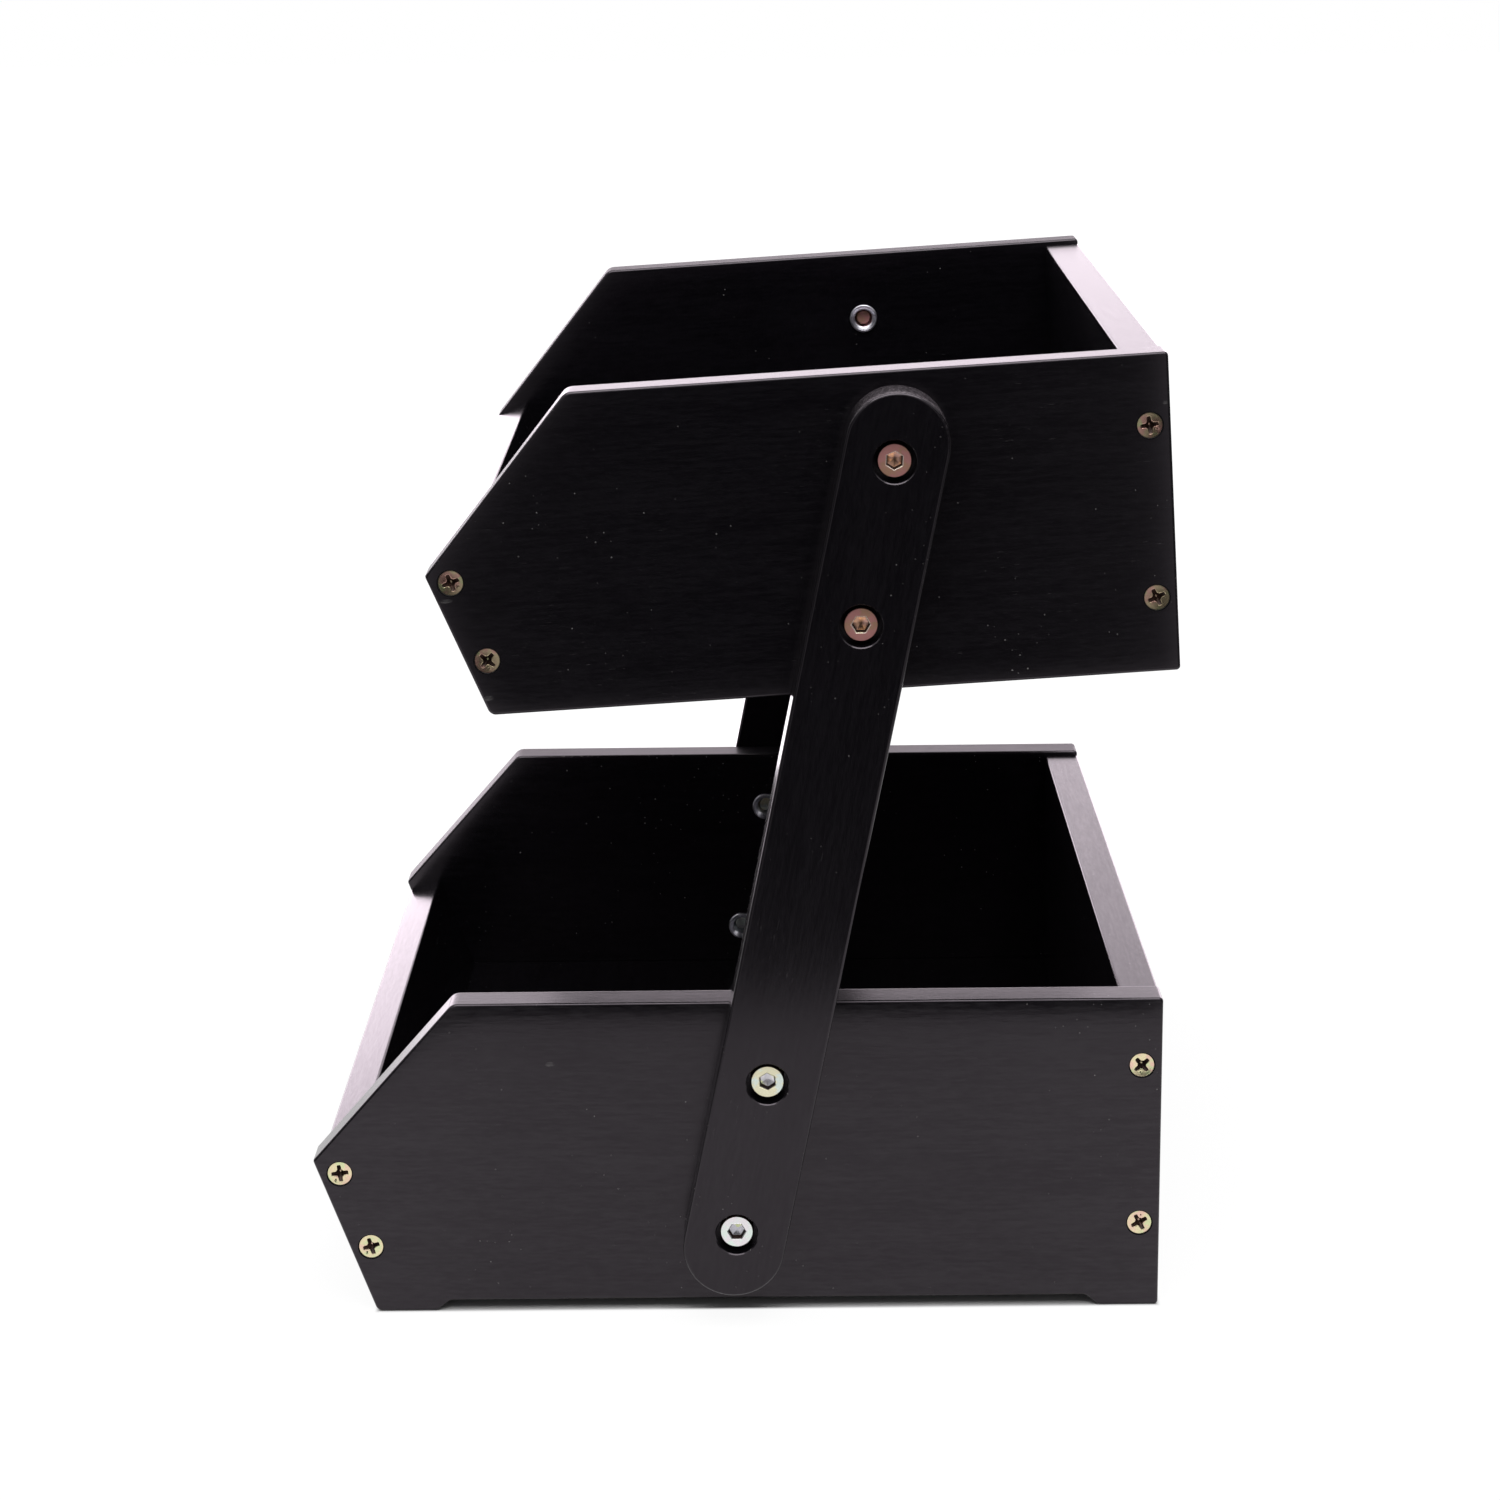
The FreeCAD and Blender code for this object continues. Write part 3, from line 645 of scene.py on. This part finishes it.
def threaded(count, root, crest, low, high, pitch, steps=4, taper=0.0):
    """Rings of a helical thread from high down to low, which narrows to a point over the taper."""
    rings = []
    total = round((high - low) / pitch * steps)
    for step in range(total + 1):
        height = high - (high - low) * step / total
        fade = min(1.0, (high - height) / pitch, (height - low) / pitch + (1.0 if taper else 0.0))
        narrowed = max(0.06, min(1.0, (height - low) / taper)) if taper else 1.0

        def radius(angle):
            rise = fade * thread_rise(step / steps + angle / (2.0 * math.pi))
            return narrowed * (root + (crest - root) * rise)

        rings.append(circle(count, radius, height))
    return rings


def lofted(rings, first_tip=None, last_tip=None, closed=False, finishes=(), first_finish=0):
    """Mesh through rings of equally many points, with a point at each end, or closed on itself.

    The bands take the materials numbered in finishes, and the first material after those.
    """
    shape = bmesh.new()
    rows = [[shape.verts.new(point) for point in ring] for ring in rings]
    count = len(rows[0])
    pairs = list(zip(rows, rows[1:]))
    if closed:
        pairs.append((rows[-1], rows[0]))
    for band, (upper, lower) in enumerate(pairs):
        for index in range(count):
            after = (index + 1) % count
            face = shape.faces.new((upper[index], upper[after], lower[after], lower[index]))
            face.material_index = finishes[band] if band < len(finishes) else 0
    if not closed:
        for row, tip, finish in ((rows[0], first_tip, first_finish), (rows[-1], last_tip, 0)):
            centre = shape.verts.new(tip)
            for index in range(count):
                face = shape.faces.new((row[index], row[(index + 1) % count], centre))
                face.material_index = finish
    bmesh.ops.recalc_face_normals(shape, faces=shape.faces)
    return shape


def blended(first, second, shares):
    """Rings between two rings."""
    return [[tuple(a + (b - a) * share for a, b in zip(start, end)) for start, end in zip(first, second)]
            for share in shares]


def cross_outline(span, wing):
    """Points of a cross recess all the way round; span and wing are half its span and a wing's width."""
    flank = ((0.40, 1.14), (0.48, 1.06), (0.60, 1.02), (0.76, 0.98), (0.88, 0.93), (0.965, 0.73),
             (0.995, 0.38))
    corner = 0.30 * span + 0.18 * wing
    near = [(along * span, out * wing) for along, out in flank]
    quarter = [(corner, corner)] + near + [(span, 0.0)] + [(along, -out) for along, out in reversed(near)]
    outline = []
    for cosine, sine in ((1, 0), (0, 1), (-1, 0), (0, -1)):
        outline += [(cosine * along + sine * out, sine * along - cosine * out) for along, out in quarter]
    return outline


def screw_rings(head, shank, length, hardware):
    """Rings of a countersunk wood screw, from the recess's floor over the head to the tip.

    Head and shank are radii. Returns the rings and the number of the last one on the head's face.
    """
    span, wing = hardware.recess_span / 2.0, hardware.recess_wing / 2.0
    face = -hardware.screw_sink
    rings = []
    for share in (1.0, 0.75, 0.5, 0.25, 0.034):
        reach = span * (1.0 - 0.86 * share)
        ring = []
        for x, y in cross_outline(span, wing):
            distance = math.hypot(x, y)
            scale = min(distance * (1.0 - 0.10 * share), reach) / distance
            ring.append((x * scale, y * scale, face - hardware.recess_depth * share))
        rings.append(ring)
    lip = 0.11 * MM
    mouth = [(x, y, face) for x, y in cross_outline(span + lip, wing + lip)]
    flat = head * 0.92
    profile = ((head * 0.72, face), (head * 0.84, face), (flat, face), (head * 0.935, face),
               (head * 0.955, -0.06 * MM), (head * 0.98, 0.0), (head, -0.04 * MM), (head * 0.99, -0.5 * MM),
               (shank * 1.02, -0.5 * MM - head + shank))
    turned = circles(len(mouth), profile, -math.pi / 4.0)
    rings += [mouth] + blended(mouth, turned[0], (0.15, 0.30, 0.45, 0.60, 0.80))
    last = len(rings) + 2
    rings += turned
    for number in range(last + 1):
        rings[number] = [(x, y, z - hardware.screw_dish * (1.0 - (x * x + y * y) / flat ** 2))
                         for x, y, z in rings[number]]
    smooth_end = -length * 0.36
    rings.append([(x * 0.72, y * 0.72, smooth_end) for x, y, z in turned[-1]])
    rings += threaded(len(mouth), shank * 0.66, shank * 0.985, 0.1 * MM - length, smooth_end - 0.1 * MM,
                      hardware.screw_pitch, steps=5, taper=5.0 * MM)
    return rings, last


def build_screw(head, length, recess_turn, dimple_turn, hardware):
    """Countersunk wood screw with a small dimple in its face; its head is at the top."""
    shank = 2.0 * MM
    rings, last = screw_rings(head, shank, length, hardware)
    plating, recess, gap = range(3)
    # The recess walls take the painted shade, and the outer rim of the head takes the painted gap shadow.
    finishes = [recess] * 4 + [plating] * (last - 4) + [gap] * 4
    floor = (0.0, 0.0, -hardware.screw_sink - hardware.recess_depth - 0.4 * MM)
    shape = lofted(rings, floor, (0.0, 0.0, -length), finishes=finishes)
    angle = math.radians(dimple_turn - recess_turn)
    centre = Vector((0.60 * head * math.cos(angle), 0.60 * head * math.sin(angle)))
    wide, deep, dark, below = 0.36 * MM, 0.16 * MM, 0.26 * MM, -1.0 * MM
    for vert in shape.verts:
        away = (vert.co.xy - centre).length
        if away < wide and vert.co.z > below:
            vert.co.z -= deep * (1.0 - (away / wide) ** 2)
    # The middle of the dimple takes the painted shade of the recess.
    for face in shape.faces:
        middle = face.calc_center_median()
        if (middle.xy - centre).length < dark and middle.z > below:
            face.material_index = recess
    return shape


def build_bolt(head, length, hardware):
    """Socket-head bolt with a knurled head and a full thread; its head is at the top."""
    count = 72
    shank = 3.0 * MM
    under = -6.0 * MM
    flat = hardware.socket_width / 2.0
    depth = hardware.socket_depth
    mouth = hardware.socket_mouth
    groove = 0.10 * MM if hardware.knurls else 0.0

    def hexagon(angle):
        return flat / math.cos((angle + math.pi / 6.0) % (math.pi / 3.0) - math.pi / 6.0)

    def knurled(angle):
        return head * 0.998 - groove * (0.5 - 0.5 * math.cos(angle * hardware.knurls))

    rings = [circle(count, lambda angle: scale * hexagon(angle), height) for scale, height in (
        (0.88, -depth), (0.98, -depth * 0.96), (1.0, -depth * 0.88), (1.0, -1.3 * mouth),
        (1.0 + 0.3 * mouth / flat, -0.5 * mouth), (1.0 + mouth / flat, 0.0))]
    rings += circles(count, (
        (flat * 1.36, 0.0), (head * 0.925, 0.0), (head * 0.935, 0.0), (head * 0.955, -0.06 * MM),
        (head * 0.985, -0.26 * MM), (knurled, -0.55 * MM), (knurled, under + 0.5 * MM),
        (head * 0.985, under + 0.15 * MM), (head * 0.96, under), (shank * 0.99, under),
        (shank * 0.97, under - 0.6 * MM)))
    rings += threaded(count, shank * 0.83, shank * 0.99, -length + 0.5 * MM, under - 0.9 * MM,
                      hardware.bolt_pitch)
    rings.append(circle(count, shank * 0.76, -length))
    plating, painted_shade, floor, edge = range(4)
    # The socket walls and the head's rim and knurled side take the painted shade; the socket's mouth takes
    # the edge finish.
    finishes = [painted_shade] * 3 + [edge] * 2 + [plating] * 3 + [painted_shade] * 4
    return lofted(rings, (0.0, 0.0, -depth - 0.5 * MM), (0.0, 0.0, -length + 0.3 * MM), finishes=finishes,
                  first_finish=floor)


def build_insert(flange, length, hardware):
    """Threaded insert with a dished flange and barbs; its flange is at the top."""
    count = 60
    barbs = 5
    body, bore, rim = 4.3 * MM, 3.05 * MM, 1.0 * MM
    dish = hardware.dish_depth
    profile = [(flange * 0.93, 0.0), (flange * 0.965, -0.06 * rim), (flange * 0.99, -0.20 * rim),
               (flange, -0.42 * rim), (flange, -0.9 * rim), (flange * 0.985, -rim), (body * 0.97, -rim)]
    for index in range(barbs):
        top = -rim - (0.6 + index) * (length - rim) / (barbs + 1.0)
        profile += [(body * 0.985, top), (body * 0.87, top - 0.7 * MM), (body * 0.985, top - 0.85 * MM)]
    profile += [(body * 0.95, -length + 0.3 * MM), (body * 0.90, -length), (bore * 1.12, -length)]
    inner = threaded(count, bore * 1.085, bore * 1.01, -length + 0.5 * MM, -dish - 0.3 * MM,
                     hardware.bolt_pitch)
    mouth = [(bore * 1.03, -dish - 0.12 * MM)]
    for share in (1.0, 0.96, 0.85, 0.65, 0.42, 0.2, 0.06, 0.0):
        mouth.append((bore * 1.05 + (flange * 0.885 - bore * 1.05) * (1.0 - share) ** 0.8, -dish * share))
    return lofted(circles(count, profile) + inner[::-1] + circles(count, mouth), closed=True)


def seat(node, side, inward=False):
    """Middle of a frame node's face outside (or inside) the bin, and the node's radius and length."""
    low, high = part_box(node)
    middle = (low + high) / 2.0
    face = high.x if (side > 0.0) != inward else low.x
    return Vector((face, middle.y, middle.z)), (high.z - low.z) / 2.0, high.x - low.x


def put_in_place(node, shape, side, place, materials, turn=0.0, inward=False):
    """Turn a shape's top out of (or into) the bin's side and put it in the frame in place of a node."""
    out = side * (-1.0 if inward else 1.0)
    spin = Matrix.Rotation(math.radians(turn) * side + math.radians(90.0), 4, "Z")
    lay = Matrix.Rotation(math.radians(90.0) * out, 4, "Y")
    shape.transform(Matrix.Translation(place) @ lay @ spin)
    mesh = bpy.data.meshes.new(node + "_detail")
    shape.to_mesh(mesh)
    shape.free()
    mesh.shade_smooth()
    mesh.set_sharp_from_angle(angle=math.radians(32.0))
    for material in materials:
        mesh.materials.append(material)
    piece = bpy.data.objects.new(mesh.name, mesh)
    bpy.context.scene.collection.objects.link(piece)
    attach(piece, "root")
    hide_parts(node)


def lean(screw):
    """Angle from upright of the line through a pair of screws, leaning to the front."""
    low, high = [seat(screw + end, 1.0)[0] for end in ("_low", "_high")]
    return math.atan2(low.y - high.y, high.z - low.z)


def bin_tilt():
    """Angle that the upper bin is tilted to the front."""
    return lean("right_upper_back_screw")


# ---- studio ----
def add_floor(scene, studio):
    """Pale floor that ends a little way past the right side.

    The camera sees it white all round the feet, so that only a faint shadow stays under the object,
    and the object mirrors it as white, but dimmer towards its own middle.
    """
    low, high = CAD_BOX
    left, right = low.x - studio.floor_far, high.x + studio.floor_near
    front, back = low.y - studio.floor_far, high.y + studio.floor_far
    corners = ((left, front), (right, front), (right, back), (left, back))
    mesh = bpy.data.meshes.new("pale_floor")
    mesh.from_pydata([(x, y, -0.05 * MM) for x, y in corners], [], [range(len(corners))])
    floor = bpy.data.objects.new("pale_floor", mesh)
    scene.collection.objects.link(floor)
    points = [point.co for point in frame["nodes"][SIDE_BOARDS["lower"][0]].data.vertices]
    feet = [point.y for point in points if point.z < 1.0 * MM]
    material, sheet = new_material("pale_floor_paint")
    path = sheet.add("ShaderNodeLightPath").outputs
    eye = path["Is Camera Ray"]
    mirrored = sheet.math("ADD", path["Is Glossy Ray"], path["Is Transmission Ray"], clamp=True)
    from_middle = sheet.vector("SUBTRACT", sheet.place(), (0.0, (min(feet) + max(feet)) / 2.0, 0.0))
    away = sheet.parts(sheet.vector("ABSOLUTE", from_middle))
    past = sheet.larger(sheet.minus(away["X"], max(point.x for point in points)),
                        sheet.minus(away["Y"], (max(feet) - min(feet)) / 2.0))
    seen = sheet.plus(sheet.ramp(past, -1.0 * MM, 1.2 * MM, 0.0, 0.85),
                      sheet.ramp(past, 10.0 * MM, 350.0 * MM, 0.0, 0.15))
    reflected = sheet.times(sheet.ramp(away["Y"], 0.06, 0.15, 0.66, 0.95),
                            sheet.ramp(past, -1.5 * MM, 3.0 * MM))
    white_share = sheet.plus(sheet.times(eye, seen), sheet.times(mirrored, reflected))
    dim = sheet.ramp(away["Y"], 0.20, 0.70, 1.0, 0.20)
    strength = sheet.plus(sheet.times(eye, 1.10), sheet.times(sheet.minus(1.0, eye), dim))
    paint = sheet.add("ShaderNodeBsdfDiffuse", {"Color": (0.8, 0.8, 0.8, 1.0)})
    white = sheet.add("ShaderNodeEmission", {"Color": WHITE, "Strength": strength})
    both = sheet.add("ShaderNodeMixShader", {0: white_share, 1: paint.outputs[0], 2: white.outputs[0]})
    sheet.add("ShaderNodeOutputMaterial", {"Surface": both.outputs[0]})
    mesh.materials.append(material)


def add_world(scene, studio):
    """White background, even light, and what the object mirrors: pale behind it, above it and beside
    the camera, and dark round the camera.
    """
    world = bpy.data.worlds.new("studio_air")
    scene.world = world
    world.use_nodes = True
    sheet = NodeSheet(world.node_tree)
    path = sheet.add("ShaderNodeLightPath").outputs
    heading = sheet.parts(sheet.add("ShaderNodeTexCoord").outputs["Generated"])
    behind = sheet.times(sheet.ramp(heading["X"], -0.80, -0.35, 0.9, 0.0),
                         sheet.ramp(heading["Z"], 0.22, 0.34, 1.0, 0.55))
    above = sheet.ramp(heading["Z"], 0.30, 0.62)
    below = sheet.ramp(heading["Z"], -0.29, -0.42, 0.0, 0.45)
    front = sheet.ramp(heading["X"], 0.35, 0.75, 0.12, 0.01)
    aside = sheet.unsigned(heading["Y"])
    beside = sheet.times(sheet.ramp(aside, 0.04, 0.32, 0.0, 0.54), sheet.ramp(aside, 0.35, 0.55, 1.0, 0.15),
                         sheet.ramp(heading["X"], 0.2, 0.5))
    shown = sheet.larger(sheet.larger(behind, above), sheet.plus(front, beside, below))
    mirrored = sheet.larger(path["Is Glossy Ray"], path["Is Transmission Ray"])
    lit = sheet.plus(sheet.times(mirrored, shown), sheet.times(sheet.minus(1.0, mirrored), studio.ambient))
    eye = path["Is Camera Ray"]
    strength = sheet.plus(sheet.times(lit, sheet.minus(1.0, eye)), eye)
    tint = sheet.mix(sheet.times(mirrored, behind), WHITE, rgba(studio.back_tint))
    air = sheet.add("ShaderNodeBackground", {"Color": tint, "Strength": strength})
    sheet.add("ShaderNodeOutputWorld", {"Surface": air.outputs[0]})


def add_lamps(scene, studio):
    """Soft boxes behind, in front of, above and beside the object.

    Each has its place, what it points at, its width and height, its power, and what differs.
    """
    middle = (0.0, 0.0, 0.2)
    tinted = {"color": studio.back_tint}
    for name, place, aim, width, height, power, lamp_settings, box_settings in (
            ("back_soft_box", (-1.7, -0.1, 0.50), middle, 3.2, 0.8, studio.back_light, tinted, {}),
            ("back_strip", (-1.7, -0.1, 0.275), (0.0, 0.0, 0.275), 3.2, 0.25, 4.8, tinted, {}),
            ("low_strip", (-0.45, -0.2, 0.047), (0.0, -0.2, 0.047), 2.0, 0.085, 1.0, tinted, {}),
            ("front_soft_box", (-0.7, -1.6, 0.7), middle, 1.6, 1.2, 5.0, {}, {}),
            ("top_soft_box", (0.1, 0.1, 1.7), middle, 1.4, 1.4, 4.0, {}, {}),
            ("top_glint", (0.45, 0.0, 1.5), (0.2, 0.0, 0.2), 1.6, 1.0, 19.0, {},
             {"visible_diffuse": False}),
            ("camera_fill", (1.1, 0.0, 1.8), (0.2, 0.0, 0.0), 1.4, 1.4, studio.fill, {},
             {"visible_glossy": False})):
        lamp = bpy.data.lights.new(name, "AREA")
        box = bpy.data.objects.new(name, lamp)
        lamp_settings = {"shape": "RECTANGLE", "size": width, "size_y": height, "energy": power,
                         **lamp_settings}
        turn = (Vector(aim) - Vector(place)).to_track_quat("-Z", "Y").to_euler()
        box_settings = {"location": place, "rotation_euler": turn, "visible_camera": False, **box_settings}
        for owner, settings in ((lamp, lamp_settings), (box, box_settings)):
            for key, value in settings.items():
                setattr(owner, key, value)
        scene.collection.objects.link(box)


def add_camera(scene, studio):
    """Camera beside the right-hand arm, a little above the object."""
    down, to_front, roll = studio.camera_down, studio.camera_round, studio.camera_roll
    level = Vector((math.sin(to_front), math.cos(to_front), 0.0))
    ahead = Vector((-level.y * math.cos(down), level.x * math.cos(down), -math.sin(down)))
    below = ahead.cross(level)
    right = level * math.cos(roll) + below * math.sin(roll)
    up = level * math.sin(roll) - below * math.cos(roll)
    lens = bpy.data.cameras.new("studio_camera")
    lens.lens = studio.camera_lens
    lens.sensor_width = 36.0
    lens.clip_start = 0.01
    lens.clip_end = 60.0
    camera = bpy.data.objects.new("studio_camera", lens)
    turn = Matrix((right, up, -ahead)).transposed().to_4x4()
    camera.matrix_world = Matrix.Translation(Vector(studio.camera_place)) @ turn
    scene.collection.objects.link(camera)
    scene.camera = camera


# ---- operators ----
class ORGANISER_OT_side_boards(bpy.types.Operator):
    """Stain the four side boards, with the grain along each bin"""

    bl_idname = "organiser.side_boards"
    bl_label = "Side boards"

    def execute(self, context):
        wood = context.scene.organiser_wood
        dull_left = 0.3
        for tier, tilt, contrast, shift in (("lower", 0.0, 1.0, 0.0), ("upper", bin_tilt(), 0.75, 83.0)):
            along = (0.0, math.cos(tilt), math.sin(tilt))
            for number, node in enumerate(SIDE_BOARDS[tier]):
                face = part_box(node)[1].x
                rubs = [(Vector((face, y * MM, z * MM)), half_along, half_across)
                        for y, z, half_along, half_across in RUB_MARKS.get(node, ())]
                offset = (37.0 * number, 11.0 * number, shift)
                cover(node, stained_wood(node + "_stain", along, offset, wood, contrast,
                                         sides=side_planes(node), rubs=rubs, dull=dull_left * number))
        return {"FINISHED"}


class ORGANISER_OT_cross_boards(bpy.types.Operator):
    """Stain the front, back and bottom boards, with the grain across the bins"""

    bl_idname = "organiser.cross_boards"
    bl_label = "Front, back and bottom boards"

    def execute(self, context):
        slant = lean("right_lower_front_screw")
        for tier, tilt, shift in (("lower", 0.0, 0.0), ("upper", bin_tilt(), 29.0)):
            for number, node in enumerate(CROSS_BOARDS[tier]):
                offset = (19.0 * number, 53.0 * number, shift)
                turn = tilt + (slant if "front" in node else 0.0)
                cover(node, stained_wood(node + "_stain", X_AXIS, offset, context.scene.organiser_wood,
                                         cross_turn=turn))
        return {"FINISHED"}


class ORGANISER_OT_arms(bpy.types.Operator):
    """Stain the two arms, with the grain along the bars"""

    bl_idname = "organiser.arms"
    bl_label = "Arms"

    def execute(self, context):
        ends = [seat("right_arm_bolt_%d" % number, 1.0)[0] for number in (1, len(BOLTS))]
        for end in ends:
            end.x = 0.0
        for number, side in enumerate(SIDES):
            offset = (0.0, 71.0 * number, 5.0)
            cover(side + "_arm", stained_wood(side + "_arm_stain", ends[1] - ends[0], offset,
                                              context.scene.organiser_wood, contrast=0.6, ends=ends))
        return {"FINISHED"}


class ORGANISER_OT_wood_screws(bpy.types.Operator):
    """Build the sixteen countersunk wood screws"""

    bl_idname = "organiser.wood_screws"
    bl_label = "Wood screws"

    def execute(self, context):
        hardware = context.scene.organiser_hardware
        finishes = metals(SCREW_METALS, hardware)
        # The upper screws take the darker amber copy of the plating, which is painted shade.
        platings = {"lower": finishes["yellow_screw_plating"], "upper": finishes["upper_screw_painted_shade_plating"]}
        # The gap finish is a painted shadow on the outer rim of each screw's head.
        gap = painted_gap_shadow(context.scene.organiser_wood)
        for side, sign in SIDES.items():
            for label, (turn, dimple) in SCREWS.items():
                node = side + "_" + label
                place, radius, length = seat(node, sign)
                shape = build_screw(radius, length, turn, dimple, hardware)
                materials = (platings[label.split("_")[0]], finishes["screw_recess_painted_shade"], gap)
                put_in_place(node, shape, sign, place, materials, turn)
        return {"FINISHED"}


class ORGANISER_OT_arm_bolts(bpy.types.Operator):
    """Build the eight socket-head bolts that hold the arms"""

    bl_idname = "organiser.arm_bolts"
    bl_label = "Arm bolts"

    def execute(self, context):
        hardware = context.scene.organiser_hardware
        finishes = metals(BOLT_METALS, hardware)
        for side, sign in SIDES.items():
            for number, (turn, plating, floor, edge) in enumerate(BOLTS, start=1):
                node = "%s_arm_bolt_%d" % (side, number)
                place, radius, length = seat(node, sign)
                shape = build_bolt(radius, length, hardware)
                materials = [finishes[name] for name in (plating, "bolt_socket_painted_shade", floor, edge)]
                put_in_place(node, shape, sign, place, materials, turn)
        return {"FINISHED"}


class ORGANISER_OT_threaded_inserts(bpy.types.Operator):
    """Build the eight threaded inserts inside the bins"""

    bl_idname = "organiser.threaded_inserts"
    bl_label = "Threaded inserts"

    def execute(self, context):
        hardware = context.scene.organiser_hardware
        finishes = metals(INSERT_METALS, hardware)
        for side, sign in SIDES.items():
            for number in range(1, len(BOLTS) + 1):
                node = "%s_threaded_insert_%d" % (side, number)
                place, radius, length = seat(node, sign, inward=True)
                shape = build_insert(radius, length, hardware)
                put_in_place(node, shape, sign, place, finishes.values(), inward=True)
        return {"FINISHED"}


class ORGANISER_OT_studio(bpy.types.Operator):
    """Set up the pale floor, the soft light and the camera"""

    bl_idname = "organiser.studio"
    bl_label = "Studio"

    def execute(self, context):
        scene = context.scene
        for add in (add_floor, add_world, add_lamps, add_camera):
            add(scene, scene.organiser_studio)
        scene.view_settings.view_transform = "Standard"
        return {"FINISHED"}


OPERATORS = (ORGANISER_OT_side_boards, ORGANISER_OT_cross_boards, ORGANISER_OT_arms,
             ORGANISER_OT_wood_screws, ORGANISER_OT_arm_bolts, ORGANISER_OT_threaded_inserts,
             ORGANISER_OT_studio)


SETTINGS = {"organiser_wood": StainedWoodSettings, "organiser_hardware": HardwareSettings,
            "organiser_studio": StudioSettings}


class ORGANISER_PT_panel(bpy.types.Panel):
    """Sidebar panel with the organiser's settings and pieces"""

    bl_idname = "ORGANISER_PT_panel"
    bl_label = "Two-tier bin organiser"
    bl_space_type = "VIEW_3D"
    bl_region_type = "UI"
    bl_category = "Organiser"

    def draw(self, context):
        for name, group in SETTINGS.items():
            box = self.layout.box()
            box.label(text=group.__doc__)
            for setting in group.__annotations__:
                box.prop(getattr(context.scene, name), setting)
        for operator in OPERATORS:
            self.layout.operator(operator.bl_idname)


CLASSES = (*SETTINGS.values(), *OPERATORS, ORGANISER_PT_panel)


def register():
    for item in CLASSES:
        bpy.utils.register_class(item)
    for name, group in SETTINGS.items():
        setattr(bpy.types.Scene, name, PointerProperty(type=group))


def unregister():
    for name in SETTINGS:
        delattr(bpy.types.Scene, name)
    for item in reversed(CLASSES):
        bpy.utils.unregister_class(item)


def main():
    register()
    for operator in OPERATORS:
        getattr(bpy.ops.organiser, operator.bl_idname.split(".")[1])()
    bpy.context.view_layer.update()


if __name__ == "__main__":
    main()
